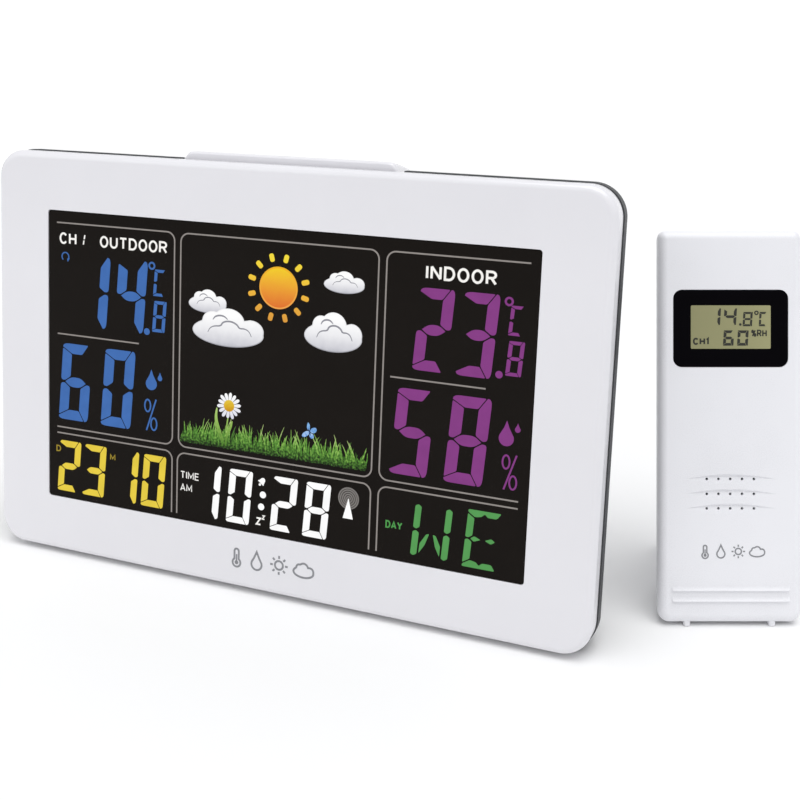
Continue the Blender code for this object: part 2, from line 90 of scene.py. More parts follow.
def size_and_middle(node, place):
    """Width, height, middle x, middle z and front y of a CAD node, in mm."""
    (x0, x1), (y0, _), (z0, z1) = span(node, place)
    return x1 - x0, z1 - z0, (x0 + x1) / 2, (z0 + z1) / 2, y0


CASE_W, CASE_H, _, _, _ = size_and_middle("front_frame", DISPLAY)
WINDOW_W, WINDOW_H, _, SCREEN_Z, WINDOW_Y = size_and_middle("display_window", DISPLAY)
SEAM_Y, REAR_Y = span("rear_case", DISPLAY)[1][0], 28.0
SEN_SHELL = span("sensor_rear_shell", SENSOR)
SEN_W, SEN_H = 2 * span("sensor_front_shell", SENSOR)[0][1], SEN_SHELL[2][1]
SEN_SEAM, SEN_DEEP = SEN_SHELL[1][0], 20.0
SEN_WINDOW_W, SEN_WINDOW_H, _, SEN_WINDOW_Z, SEN_WINDOW_Y = size_and_middle("sensor_window",
        SENSOR)
CASE_SLOPE, RIM_END, RIM_PROUD = 5.0 / 15.9, 10.5, 0.3    # draft and outer rim of the rear case
SEN_DRAFT, SEN_HEEL = 0.21, 0.25    # how fast the sensor's sides and its underside draw in
JACK_X, JACK_Z = 75.0, 31.0         # middle of the power inlet
FILM, INK = 0.05, 0.03              # thickness of a screen print and of a pad print


def linear(text):
    """Linear colour of an sRGB hex value such as #40A0FF."""
    parts = [int(text[i:i + 2], 16) / 255 for i in (1, 3, 5)]
    return tuple(c / 12.92 if c <= 0.04045 else ((c + 0.055) / 1.055) ** 2.4 for c in parts)


def stance(place):
    """How far a body leans back, and the height of its lower front edge in mm."""
    return math.acos(max(-1, min(1, place.to_3x3().col[2].z))), place.translation.z / MM


def shade(colour, share):
    """The same colour brightened or darkened, as four numbers for a socket."""
    return (*(min(1.0, c * share) for c in colour[:3]), 1.0)


def shades(colour, *stops):
    """Stops of (position, colour) from stops of (position, share) of one colour."""
    return [(position, shade(colour, share)) for position, share in stops]


# ---------------------------------------------------------------- settings
def colour_field(name, description, text):
    return bpy.props.FloatVectorProperty(name=name, description=description, size=3, min=0.0,
            max=1.0, subtype="COLOR", default=linear(text))


def length_field(name, description, mm, low=0.0, high=400.0):
    return bpy.props.FloatProperty(name=name, description=description, default=mm * MM,
                                   min=low * MM, max=high * MM, subtype="DISTANCE", unit="LENGTH",
                                   precision=4)


class StationDisplaySettings(bpy.types.PropertyGroup):
    """Sizes and colours of the tabletop display."""
    bezel_colour: colour_field("Bezel", "White of the glossy front frame", "#E8E7EB")
    case_colour: colour_field("Rear case", "Dark grey of the textured rear case", "#2B2D30")
    screen_colour: colour_field("Unlit screen", "Near-black of the smoked window", "#171310")
    outdoor_colour: colour_field("Outdoor figures", "Blue film over outdoor readings", "#3F6BAF")
    indoor_colour: colour_field("Indoor figures", "Purple film over indoor readings", "#833B82")
    date_colour: colour_field("Date figures", "Yellow film over the date", "#E3C942")
    day_colour: colour_field("Day letters", "Green film over the weekday", "#549953")
    time_colour: colour_field("Time figures", "White film over the clock", "#FCFCFC")
    line_colour: colour_field("Box lines", "Warm grey of the lines round each reading", "#918B87")
    frame_soft_edge: length_field("Frame edge radius", "Rounding of the front frame's edge", 2.1,
                                  0.4, 2.4)
    case_corner: length_field("Corner radius", "Corner radius of the frame and case", 9.0, 3.0, 20)
    line_width: length_field("Line width", "Width of the printed box lines", 0.44, 0.2, 1.5)
    figure_gap: length_field("Segment gap", "Dark gap between neighbouring segments", 0.28, 0.1, 1)
    figure_lean: bpy.props.FloatProperty(name="Figure lean", description="Sideways lean of the "
            "figures for each unit of height", default=0.075, min=0.0, max=0.3)


class StationSensorSettings(bpy.types.PropertyGroup):
    """Sizes and colours of the outdoor sensor."""
    shell_colour: colour_field("Shell", "White of the satin sensor shell", "#EEEEF2")
    window_colour: colour_field("Window", "Black printed border of the window", "#050407")
    glass_colour: colour_field("Display ground", "Olive ground of the small display", "#98966F")
    segment_colour: colour_field("Display figures", "Dark figures of the small display", "#26261E")
    lower_corner: length_field("Lower corner radius", "Radius of the two lower corners", 3.3, 1, 8)
    upper_corner: length_field("Upper corner radius", "Radius of the two upper corners", 2.2, 1, 8)
    hole: length_field("Hole diameter", "Diameter of each air hole", 0.8, 0.4, 2.5)


class StationStageSettings(bpy.types.PropertyGroup):
    """Floor, light and camera."""
    floor_colour: colour_field("Floor", "Pale floor and backdrop", "#F4F4F4")
    focal_length: bpy.props.FloatProperty(name="Lens", description="Focal length on a 36 mm wide "
            "sensor", default=52.41, min=20, max=200, unit="CAMERA")


# ---------------------------------------------------------------- shapes, in mm
def outline(w, h, r, x=0.0, z=0.0, steps=10):
    """Rounded rectangle, anticlockwise from the front. r is one radius or (lower, upper)."""
    low, high = r if isinstance(r, tuple) else (r, r)
    points = []
    for sx, sz, start, rad in ((1, -1, -90, low), (1, 1, 0, high), (-1, 1, 90, high),
                               (-1, -1, 180, low)):
        for i in range(steps + 1):
            a = math.radians(start + 90.0 * i / steps)
            points.append((x + sx * (w / 2 - rad) + rad * math.cos(a),
                           z + sz * (h / 2 - rad) + rad * math.sin(a)))
    return points


def oval(w, h, x=0.0, z=0.0, steps=28):
    return [(x + w / 2 * math.cos(2 * math.pi * i / steps),
             z + h / 2 * math.sin(2 * math.pi * i / steps)) for i in range(steps)]


def moved(points, x, z, size=1.0):
    return [(x + a * size, z + b * size) for a, b in points]


def spun(points, x, z, turn):
    """Points turned about the origin by an angle, then moved."""
    return [(x + p * math.cos(turn) - q * math.sin(turn),
             z + p * math.sin(turn) + q * math.cos(turn)) for p, q in points]


def loft(rings, looped=False):
    """Surface through matching outlines, each (points, y). It is closed at both ends by a flat
    face, or looped into a frame by joining the last outline to the first."""
    n, count = len(rings[0][0]), len(rings)
    verts = [(x, y, z) for points, y in rings for x, z in points]
    faces = []
    for k in range(count if looped else count - 1):
        a, b = k * n, (k + 1) % count * n
        faces += [(a + i, a + (i + 1) % n, b + (i + 1) % n, b + i) for i in range(n)]
    if not looped:
        faces += [tuple(reversed(range(n))), tuple(range((count - 1) * n, count * n))]
    return verts, faces


def prism(points, y0, y1):
    return loft([(points, y0), (points, y1)])


def slab(w, h, r, y0, y1, x=0.0, z=0.0, steps=8, edge=0.0, flare=0.0):
    """Rounded plate. edge rounds its front and back rims, flare widens its rear mouth."""
    def at(grow, y):
        return outline(w + 2 * grow, h + 2 * grow, max(r + grow, 0.05), x, z, steps), y
    if edge:
        soft = [(edge * (1 - math.cos(a)), edge * (1 - math.sin(a)))
                for a in (0.0, math.pi / 6, math.pi / 3, math.pi / 2)]
        return loft([at(-i, y0 + d) for i, d in reversed(soft)]
                    + [at(-i, y1 - d) for i, d in soft])
    if flare:
        return loft([at(0, y0), at(0, y1 - flare), at(flare, y1), at(flare, y1 + 2)])
    return loft([at(0, y0), at(0, y1)])


def block(x0, x1, y0, y1, z0, z1):
    return prism([(x0, z0), (x1, z0), (x1, z1), (x0, z1)], y0, y1)


def turned(profile, x=0.0, z=0.0, steps=24):
    """Solid turned about y. profile is (radius, y) with both ends on the axis."""
    return loft([(oval(2 * r, 2 * r, x, z, steps), y) for r, y in profile[1:-1]])


def rod(r, y0, y1, x=0.0, z=0.0, steps=24, edge=0.0):
    profile = [(0, y0), (r - edge, y0), (r, y0 + edge), (r, y1 - edge), (r - edge, y1), (0, y1)]
    return turned(profile if edge else [(0, y0), (r, y0), (r, y1), (0, y1)], x, z, steps)


def laid(shape, at):
    """A shape made along y, laid along x instead and moved."""
    verts, faces = shape
    return [(y + at[0], -x + at[1], z + at[2]) for x, y, z in verts], faces


def across(points, stations):
    """An outline in y and z carried along x. stations are (x, inset) and round the ends."""
    cy = sum(p[0] for p in points) / len(points)
    cz = sum(p[1] for p in points) / len(points)
    n, verts, faces = len(points), [], []
    for x, inset in stations:
        for y, z in points:
            dy, dz = cy - y, cz - z
            far = max(math.hypot(dy, dz), 1e-6)
            verts.append((x, y + dy / far * inset, z + dz / far * inset))
    for k in range(len(stations) - 1):
        faces += [(k * n + i, k * n + (i + 1) % n, (k + 1) * n + (i + 1) % n, (k + 1) * n + i)
                  for i in range(n)]
    last = (len(stations) - 1) * n
    return verts, faces + [tuple(reversed(range(n))), tuple(range(last, last + n))]


def rounded_corners(points, radii, steps=4):
    """Replaces corners by short arcs. A radius of 0 keeps a corner sharp, and lets the arc next
    to it run nearly up to it."""
    made, n = [], len(points)
    for i, (p, r) in enumerate(zip(points, radii)):
        p, before, after = Vector(p), Vector(points[i - 1]), Vector(points[(i + 1) % n])
        if r <= 0:
            made.append(tuple(p))
            continue
        near, far = (0.48 if radii[j] > 0 else 0.9 for j in (i - 1, (i + 1) % n))
        a = p + (before - p).normalized() * min(r, (before - p).length * near)
        b = p + (after - p).normalized() * min(r, (after - p).length * far)
        for k in range(steps + 1):
            t = k / steps
            made.append(tuple(a * (1 - t) ** 2 + p * 2 * t * (1 - t) + b * t * t))
    return made


def drawn_in(points, amount):
    """An anticlockwise outline with every edge moved inwards."""
    n, made = len(points), []
    for i in range(n):
        p = Vector(points[i])
        u = (p - Vector(points[i - 1])).normalized()
        v = (Vector(points[(i + 1) % n]) - p).normalized()
        nu, nv = Vector((-u.y, u.x)), Vector((-v.y, v.x))
        half = (nu + nv)
        made.append(tuple(p + half * (amount / max(0.25, 1 + nu.dot(nv)))))
    return made


def band(points, width, y0, y1, closed=False):
    """Line of one width, or one width for each point, drawn as a thin closed solid."""
    n = len(points)
    widths = width if isinstance(width, (list, tuple)) else [width] * n
    verts, faces = [], []
    for i in range(n):
        p = Vector(points[i])
        before = Vector(points[i - 1]) if (i or closed) else p
        after = Vector(points[(i + 1) % n]) if (i < n - 1 or closed) else p
        u = (p - before).normalized() if before != p else (after - p).normalized()
        v = (after - p).normalized() if after != p else u
        side = Vector((-(u.y + v.y), u.x + v.x))
        side = side / max(0.35, side.length ** 2 / 2) * widths[i] / 2
        for y in (y0, y1):
            verts += [(p.x + side.x, y, p.y + side.y), (p.x - side.x, y, p.y - side.y)]
    for i in range(n if closed else n - 1):
        a, b = 4 * i, 4 * ((i + 1) % n)
        faces += [(a, a + 1, b + 1, b), (a + 2, b + 2, b + 3, a + 3),
                  (a, b, b + 2, a + 2), (a + 1, a + 3, b + 3, b + 1)]
    if not closed:
        last = 4 * (n - 1)
        faces += [(0, 2, 3, 1), (last, last + 1, last + 3, last + 2)]
    return verts, faces


def arc(x, z, rx, rz, start, end, steps=12):
    return [(x + rx * math.cos(math.radians(start + (end - start) * i / steps)),
             z + rz * math.sin(math.radians(start + (end - start) * i / steps)))
            for i in range(steps + 1)]


# ---------------------------------------------------------------- pieces
def mesh_from(name, shapes, origin=(0.0, 0.0, 0.0)):
    mesh = bpy.data.meshes.new(name)
    bm = bmesh.new()
    for verts, faces in shapes:
        made = [bm.verts.new([(c - o) * MM for c, o in zip(p, origin)]) for p in verts]
        for face in faces:
            bm.faces.new([made[i] for i in face])
    bmesh.ops.recalc_face_normals(bm, faces=bm.faces)
    bm.to_mesh(mesh)
    bm.free()
    return mesh


def carve(piece, how, shapes, origin):
    """Cuts shapes out of a piece, or adds them to it, and keeps the result as its mesh."""
    tool = bpy.data.objects.new("tool", mesh_from("tool", shapes, origin))
    tool.matrix_world = piece.matrix_world
    bpy.context.scene.collection.objects.link(tool)
    step = piece.modifiers.new("step", "BOOLEAN")
    step.solver = "EXACT"
    step.operation = how
    step.object = tool
    bpy.context.view_layer.update()
    seen = piece.evaluated_get(bpy.context.evaluated_depsgraph_get())
    mesh = bpy.data.meshes.new_from_object(seen)
    if not mesh.polygons:
        raise RuntimeError(f"nothing is left of {piece.name}")
    piece.modifiers.clear()
    piece.data = mesh
    bpy.data.objects.remove(tool, do_unlink=True)


def make_piece(name, place, body, finish, shapes, steps=(), replaces=(), sharp=38.0,
               origin=(0.0, 0.0, 0.0)):
    """One visible piece: its closed shapes, then its cuts and additions in order. It is shaded
    smooth up to the sharp angle and rides on its body."""
    piece = bpy.data.objects.new(name, mesh_from(name, shapes, origin))
    piece.matrix_world = place @ Matrix.Translation(Vector(origin) * MM)
    bpy.context.scene.collection.objects.link(piece)
    for how, extra in steps:
        carve(piece, {"cut": "DIFFERENCE", "add": "UNION"}[how], extra, origin)
    piece.data.name = name
    piece.data.materials.clear()
    piece.data.materials.append(finish)
    piece.data.shade_smooth()
    piece.data.set_sharp_from_angle(angle=math.radians(sharp))
    even = piece.modifiers.new("even_shading", "WEIGHTED_NORMAL")
    even.keep_sharp = True
    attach(piece, body)
    if replaces:
        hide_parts(*replaces)
    return piece


def refinish(finish, *nodes):
    """Gives CAD nodes that stay in view a real finish."""
    for node in nodes:
        mesh = frame["nodes"][node].data
        mesh.materials.clear()
        mesh.materials.append(finish)


# ---------------------------------------------------------------- finishes
def add_node(tree, kind, inputs=None, **fields):
    """Adds one node, sets its fields, and sets or links its inputs."""
    made = tree.nodes.new(kind)
    for name, value in fields.items():
        setattr(made, name, value)
    for name, value in (inputs or {}).items():
        if isinstance(value, bpy.types.NodeSocket):
            tree.links.new(value, made.inputs[name])
        else:
            made.inputs[name].default_value = value
    return made


def per_mm(size):
    """Pattern scale whose features are this many millimetres across."""
    return 1.0 / (size * MM)


def start_finish(name, **sockets):
    """A material with one Principled shader. Returns it, its tree, the shader and the piece's
    own coordinates in metres."""
    found = bpy.data.materials.get(name)
    if found:
        bpy.data.materials.remove(found)
    finish = bpy.data.materials.new(name)
    finish.use_nodes = True
    tree = finish.node_tree
    shader = tree.nodes["Principled BSDF"]
    for socket, value in sockets.items():
        shader.inputs[socket.replace("_", " ")].default_value = value
    place = add_node(tree, "ShaderNodeTexCoord").outputs["Object"]
    return finish, tree, shader, place


def tone(tree, shader, fac, stops, socket="Base Color"):
    """Feeds a colour socket from stops of (position, colour) along fac."""
    ramp = add_node(tree, "ShaderNodeValToRGB", {"Fac": fac})
    band_of = ramp.color_ramp.elements
    while len(band_of) < len(stops):
        band_of.new(0.5)
    for element, (position, colour) in zip(band_of, stops):
        element.position, element.color = position, colour
    tree.links.new(ramp.outputs["Color"], shader.inputs[socket])


def moulded_gloss_abs(name, colour):
    """Gloss ABS from a polished mould: sharp highlights that wander a little where the wall has
    sunk while cooling, and a faint milky unevenness in the white."""
    finish, tree, shader, place = start_finish(name, Roughness=0.2, IOR=1.53,
            Coat_Weight=0.25, Coat_Roughness=0.06)
    cloud = add_node(tree, "ShaderNodeTexNoise", {"Vector": place, "Scale": per_mm(38),
            "Detail": 3.0})
    tone(tree, shader, cloud.outputs["Fac"], shades(colour, (0.3, 0.975), (0.7, 1.0)))
    wipe = add_node(tree, "ShaderNodeTexNoise", {"Vector": place, "Scale": per_mm(7),
            "Detail": 4.0})
    rough = add_node(tree, "ShaderNodeMapRange", {"Value": wipe.outputs["Fac"], "From Min": 0.35,
            "From Max": 0.7, "To Min": 0.16, "To Max": 0.27})
    tree.links.new(rough.outputs["Result"], shader.inputs["Roughness"])
    sink = add_node(tree, "ShaderNodeTexNoise", {"Vector": place, "Scale": per_mm(16),
            "Detail": 1.0})
    bump = add_node(tree, "ShaderNodeBump", {"Height": sink.outputs["Fac"], "Strength": 0.12,
            "Distance": 0.0006})
    tree.links.new(bump.outputs["Normal"], shader.inputs["Normal"])
    return finish


def moulded_satin_abs(name, colour, grit, rough, depth, patch=30.0):
    """ABS from a spark-eroded mould: a fine even grit that breaks up highlights. The grit is
    drawn about three times as coarse as the real 0.1 mm, so that it shows at this size."""
    finish, tree, shader, place = start_finish(name, Roughness=rough, IOR=1.53)
    cloud = add_node(tree, "ShaderNodeTexNoise", {"Vector": place, "Scale": per_mm(patch),
            "Detail": 4.0})
    fine = add_node(tree, "ShaderNodeTexNoise", {"Vector": place, "Scale": per_mm(grit),
            "Detail": 3.0, "Roughness": 0.6})
    both = add_node(tree, "ShaderNodeMath", {0: cloud.outputs["Fac"], 1: fine.outputs["Fac"]},
                    operation="ADD")
    tone(tree, shader, both.outputs["Value"], shades(colour, (0.75, 0.94), (1.0, 1.0)))
    worn = add_node(tree, "ShaderNodeMapRange", {"Value": fine.outputs["Fac"], "From Min": 0.3,
            "From Max": 0.7, "To Min": rough - 0.07, "To Max": rough + 0.09})
    tree.links.new(worn.outputs["Result"], shader.inputs["Roughness"])
    bump = add_node(tree, "ShaderNodeBump", {"Height": fine.outputs["Fac"], "Strength": depth,
            "Distance": 0.0001})
    tree.links.new(bump.outputs["Normal"], shader.inputs["Normal"])
    return finish


def smoked_acrylic(name, colour, rough=0.1, level=0.14):
    """Cast acrylic with a dark print behind it: deep black, polished, with the faintest wipe
    marks in its gloss. Its anti-glare coat keeps the room's reflection weak."""
    finish, tree, shader, place = start_finish(name, Roughness=rough, Specular_IOR_Level=level)
    wipe = add_node(tree, "ShaderNodeTexNoise", {"Vector": place, "Scale": per_mm(22),
            "Detail": 5.0})
    tone(tree, shader, wipe.outputs["Fac"], shades(colour, (0.3, 0.9), (0.7, 1.08)))
    marks = add_node(tree, "ShaderNodeMapRange", {"Value": wipe.outputs["Fac"], "From Min": 0.4,
            "From Max": 0.65, "To Min": rough * 0.8, "To Max": rough * 1.5})
    tree.links.new(marks.outputs["Result"], shader.inputs["Roughness"])
    return finish


def lit_film(name, colour, patch=5.0, share=0.05):
    """Translucent colour film lit from behind: it glows evenly, but for a faint mottle where
    the light guide under it is brighter."""
    finish, tree, shader, place = start_finish(name, Roughness=0.4, Specular_IOR_Level=0.1,
            Emission_Strength=1.0)
    shader.inputs["Base Color"].default_value = shade(colour, 0.02)
    mottle = add_node(tree, "ShaderNodeTexNoise", {"Vector": place, "Scale": per_mm(patch),
            "Detail": 3.0})
    tone(tree, shader, mottle.outputs["Fac"], [(0.35, shade(colour, 1 - share)),
            (0.65, shade(colour, 1 + share))], "Emission Color")
    return finish


def graded_film(name, stops, low, high, mottle=0.0, patch=1.5):
    """Printed picture film lit from behind, graded from its foot to its top. low and high are
    the heights in mm where the grading starts and ends, from the piece's own middle."""
    finish, tree, shader, place = start_finish(name, Roughness=0.4, Specular_IOR_Level=0.1,
            Emission_Strength=1.0)
    shader.inputs["Base Color"].default_value = (0.004, 0.004, 0.004, 1.0)
    height = add_node(tree, "ShaderNodeSeparateXYZ", {"Vector": place}).outputs["Z"]
    share = add_node(tree, "ShaderNodeMapRange", {"Value": height, "From Min": low * MM,
            "From Max": high * MM}).outputs["Result"]
    if mottle:
        grain = add_node(tree, "ShaderNodeTexNoise", {"Vector": place, "Scale": per_mm(patch),
                "Detail": 4.0})
        away = add_node(tree, "ShaderNodeMapRange", {"Value": grain.outputs["Fac"],
                "From Min": 0.3, "From Max": 0.7, "To Min": -mottle, "To Max": mottle})
        share = add_node(tree, "ShaderNodeMath", {0: share, 1: away.outputs["Result"]},
                         operation="ADD").outputs["Value"]
    tone(tree, shader, share, [(p, shade(linear(c), 1.0)) for p, c in stops], "Emission Color")
    return finish


def printed_ink(name, colour):
    """Pad-printed ink: flat, slightly dull, with the soft speckle of the printing pad."""
    finish, tree, shader, place = start_finish(name, Roughness=0.5)
    speck = add_node(tree, "ShaderNodeTexNoise", {"Vector": place, "Scale": per_mm(0.5),
            "Detail": 2.0})
    tone(tree, shader, speck.outputs["Fac"], shades(colour, (0.3, 0.86), (0.6, 1.04)))
    return finish


def nitrile_rubber(name, colour):
    """Moulded nitrile rubber: dull black, with fine dust held in its pores."""
    finish, tree, shader, place = start_finish(name, Roughness=0.82, IOR=1.52)
    pores = add_node(tree, "ShaderNodeTexVoronoi", {"Vector": place, "Scale": per_mm(0.6)})
    tone(tree, shader, pores.outputs["Distance"], shades(colour, (0.1, 0.7), (0.8, 1.7)))
    bump = add_node(tree, "ShaderNodeBump", {"Height": pores.outputs["Distance"], "Strength": 0.3,
            "Distance": 0.00015})
    tree.links.new(bump.outputs["Normal"], shader.inputs["Normal"])
    return finish


def rolled_metal(name, colour, rough, along="X"):
    """Plated sheet or wire: bright metal with fine drawing lines along its length."""
    finish, tree, shader, place = start_finish(name, Metallic=1.0, Roughness=rough)
    stretch = {"X": (0.04, 1, 1), "Y": (1, 0.04, 1), "Z": (1, 1, 0.04)}[along]
    grain = add_node(tree, "ShaderNodeMapping", {"Vector": place, "Scale": stretch})
    lines = add_node(tree, "ShaderNodeTexNoise", {"Vector": grain.outputs["Vector"],
            "Scale": per_mm(0.3), "Detail": 3.0})
    tone(tree, shader, lines.outputs["Fac"], shades(colour, (0.3, 0.82), (0.7, 1.0)))
    worn = add_node(tree, "ShaderNodeMapRange", {"Value": lines.outputs["Fac"],
            "To Min": rough * 0.7, "To Max": rough * 1.4})
    tree.links.new(worn.outputs["Result"], shader.inputs["Roughness"])
    return finish


def glass_fibre_board(name, colour, track):
    """Solder-masked glass-fibre board: glossy green with copper tracks showing through it."""
    finish, tree, shader, place = start_finish(name, Roughness=0.32, IOR=1.55)
    tracks = add_node(tree, "ShaderNodeTexBrick", {"Vector": place, "Scale": per_mm(9.0),
            "Mortar Size": 0.045, "Brick Width": 0.9,
            "Row Height": 0.32, "Color1": shade(colour, 0.9), "Color2": shade(colour, 1.15),
            "Mortar": shade(track, 1.0)})
    tree.links.new(tracks.outputs["Color"], shader.inputs["Base Color"])
    bump = add_node(tree, "ShaderNodeBump", {"Height": tracks.outputs["Fac"], "Strength": 0.25,
            "Distance": 0.00005})
    tree.links.new(bump.outputs["Normal"], shader.inputs["Normal"])
    return finish


def milky_sheet(name, colour):
    """Opal polycarbonate diffuser or light guide: soft white with a moulded dot pattern."""
    finish, tree, shader, place = start_finish(name, Roughness=0.45, IOR=1.58,
            Subsurface_Weight=0.15, Subsurface_Scale=0.002)
    dots = add_node(tree, "ShaderNodeTexVoronoi", {"Vector": place, "Scale": per_mm(1.2)})
    tone(tree, shader, dots.outputs["Distance"], shades(colour, (0.15, 1.0), (0.7, 0.86)))
    return finish


def banded_print(name, base, mark, width, along="Z", rough=0.35):
    """Printed sleeve or layered strip: bands of a second colour across a plain one."""
    finish, tree, shader, place = start_finish(name, Roughness=rough)
    parts = add_node(tree, "ShaderNodeSeparateXYZ", {"Vector": place})
    turns = add_node(tree, "ShaderNodeMath", {0: parts.outputs[along], 1: per_mm(width)},
                     operation="MULTIPLY")
    part = add_node(tree, "ShaderNodeMath", {0: turns.outputs["Value"]}, operation="FRACT")
    tone(tree, shader, part.outputs["Value"],
         shades(base, (0.44, 1.0)) + shades(mark, (0.5, 1.0), (0.94, 1.0))
         + shades(base, (1.0, 1.0)))
    return finish


def cut_ferrite(name, colour):
    """Sintered ferrite: matt grey-black ceramic with a fine dark grain."""
    finish, tree, shader, place = start_finish(name, Roughness=0.62)
    grain = add_node(tree, "ShaderNodeTexVoronoi", {"Vector": place, "Scale": per_mm(0.45)})
    tone(tree, shader, grain.outputs["Distance"], shades(colour, (0.0, 0.7), (0.9, 1.5)))
    return finish


def painted_floor(name, colour):
    """Matt white painted board: plain and pale, with the barest roller texture."""
    finish, tree, shader, place = start_finish(name, Roughness=0.75, Specular_IOR_Level=0.2)
    roller = add_node(tree, "ShaderNodeTexNoise", {"Vector": place, "Scale": per_mm(400),
            "Detail": 2.0})
    tone(tree, shader, roller.outputs["Fac"], shades(colour, (0.3, 0.99), (0.7, 1.0)))
    return finish


# ---------------------------------------------------------------- figures and lettering
STROKES = {"0": "abcdef", "1": "bc", "2": "abged", "3": "abgcd", "4": "fgbc", "5": "afgcd",
           "6": "afgedc", "8": "abcdefg", "C": "afed"}


WAIST = {"b": 3, "f": 2, "c": 3, "e": 4}    # which corner of an upright meets its neighbour
SHARP = {"a": 0, "b": 5, "c": 1, "d": 0}    # which corner stays sharp beside the outer one


def segments(w, h, side, bar, gap, soft):
    """The seven segments of a figure of width w and height h, before it leans. side is the width
    of the uprights and bar of the level strokes; soft rounds the outer corners."""
    k, r, m = 0.056 * h, 0.87 * w, h / 2
    ri, tip, near = w - side, side * 0.42, gap * 0.75
    top = {"a": ([(0, h - k), (side, h - bar), (ri, h - bar), (r, h), (0, h)], 4),
           "b": ([(ri, h - bar), (ri, m + bar / 2), (w - tip, m + near), (w, m + near * 2),
                  (w, h), (r, h)], 4),
           "f": ([(side, h - bar), (0, h - k), (0, m + near * 2), (tip, m + near),
                  (side, m + bar / 2)], None)}
    low = {"c": ([(ri, bar), (r, 0), (w, 0), (w, m - near * 2), (w - tip, m - near),
                  (ri, m - bar / 2)], 2),
           "d": ([(0, k), (0, 0), (r, 0), (ri, bar), (side, bar)], 1),
           "e": ([(0, k), (side, bar), (side, m - bar / 2), (tip, m - near), (0, m - near * 2)],
                 None)}
    middle = {"g": ([(tip, m), (side, m - bar / 2), (ri, m - bar / 2), (w - tip, m),
                     (ri, m + bar / 2), (side, m + bar / 2)], None)}
    made = {}
    for name, (points, outer) in {**top, **low, **middle}.items():
        points = drawn_in(points, gap / 2)
        radii = [soft * 0.22] * len(points)
        if outer is not None:
            radii[outer], radii[SHARP[name]] = soft, 0
        if name in WAIST:
            radii[WAIST[name]] = soft * 0.5
        if name == "g":
            radii = [0, soft * 0.6, soft * 0.6, 0, soft * 0.6, soft * 0.6]
        made[name] = rounded_corners(points, radii)
    return made


def figure(char, x, z, w, h, side, bar, y, lean, gap=0.28, soft=1.4, thick=0.05):
    """A segment figure whose lower left corner is at x, z, as thin plates on the face at y."""
    parts = segments(w, h, side, bar, gap, soft)
    return [prism([(x + px + lean * pz, z + pz) for px, pz in parts[s]], y - thick, y)
            for s in STROKES[char]]


def on_screen(points):
    """Screen places are measured from the middle of the window; this adds its height."""
    return [(x, SCREEN_Z + z) for x, z in points]


def film(points):
    """A thin print on the window's face."""
    return prism(points, WINDOW_Y - FILM, WINDOW_Y)


def film_line(points, width, closed=False):
    return band(points, width, WINDOW_Y - FILM, WINDOW_Y, closed)


def drop(x, z0, z1, w):
    """A water drop on the screen, with its point upwards."""
    r, neck = w / 2, z0 + (z1 - z0) * 0.72
    points = [(x + r * math.cos(math.radians(a)), z0 + r + r * math.sin(math.radians(a)))
              for a in range(-205, 26, 15)]
    return film(on_screen(points + [(x + r * 0.35, neck), (x, z1), (x - r * 0.35, neck)]))


def letter_table():
    """Plain upright letters: each has a width and its strokes, in shares of the letter's box."""
    bowl = arc(0.42, 0.5, 0.58, 0.5, 80, -80, 8)
    return {
        "A": (0.8, [[(0, 0), (0.5, 1), (1, 0)], [(0.19, 0.3), (0.81, 0.3)]]),
        "C": (0.76, [arc(0.5, 0.5, 0.5, 0.5, 38, 322, 14)]),
        "D": (0.72, [[(0, 0), (0, 1), (0.42, 1)] + bowl + [(0.42, 0), (0, 0)]]),
        "E": (0.62, [[(1, 1), (0, 1), (0, 0), (1, 0)], [(0, 0.52), (0.9, 0.52)]]),
        "H": (0.7, [[(0, 0), (0, 1)], [(1, 0), (1, 1)], [(0, 0.5), (1, 0.5)]]),
        "I": (0.0, [[(0, 0), (0, 1)]]),
        "M": (0.9, [[(0, 0), (0, 1), (0.5, 0.2), (1, 1), (1, 0)]]),
        "N": (0.72, [[(0, 0), (0, 1)], [(0, 1), (1, 0)], [(1, 0), (1, 1)]]),
        "O": (0.76, [oval(1, 1, 0.5, 0.5, 22) + [(1, 0.5)]]),
        "R": (0.7, [[(0, 0), (0, 1), (0.55, 1)] + arc(0.55, 0.74, 0.42, 0.26, 80, -80, 6)
                    + [(0.55, 0.48), (0, 0.48)], [(0.5, 0.48), (1, 0)]]),
        "T": (0.7, [[(0, 1), (1, 1)], [(0.5, 1), (0.5, 0)]]),
        "U": (0.7, [[(0, 1), (0, 0.4)] + arc(0.5, 0.38, 0.5, 0.38, 190, 350, 8)
                    + [(1, 0.4), (1, 1)]]),
        "Y": (0.76, [[(0, 1), (0.5, 0.48), (1, 1)], [(0.5, 0.48), (0.5, 0)]]),
        "Z": (0.66, [[(0, 1), (1, 1), (0, 0), (1, 0)]]),
        "1": (0.24, [[(0, 0.78), (1, 1), (1, 0)]]),
        "2": (0.56, [arc(0.5, 0.7, 0.5, 0.3, 160, -20, 8) + [(0, 0), (1, 0)]]),
        "3": (0.56, [arc(0.45, 0.75, 0.5, 0.25, 150, -80, 8),
                     arc(0.45, 0.26, 0.55, 0.26, 85, -150, 8)]),
        "%": (0.8, [oval(0.36, 0.4, 0.18, 0.8, 10) + [(0.36, 0.8)],
                    oval(0.36, 0.4, 0.82, 0.2, 10) + [(1, 0.2)], [(0.15, 0), (0.85, 1)]])}


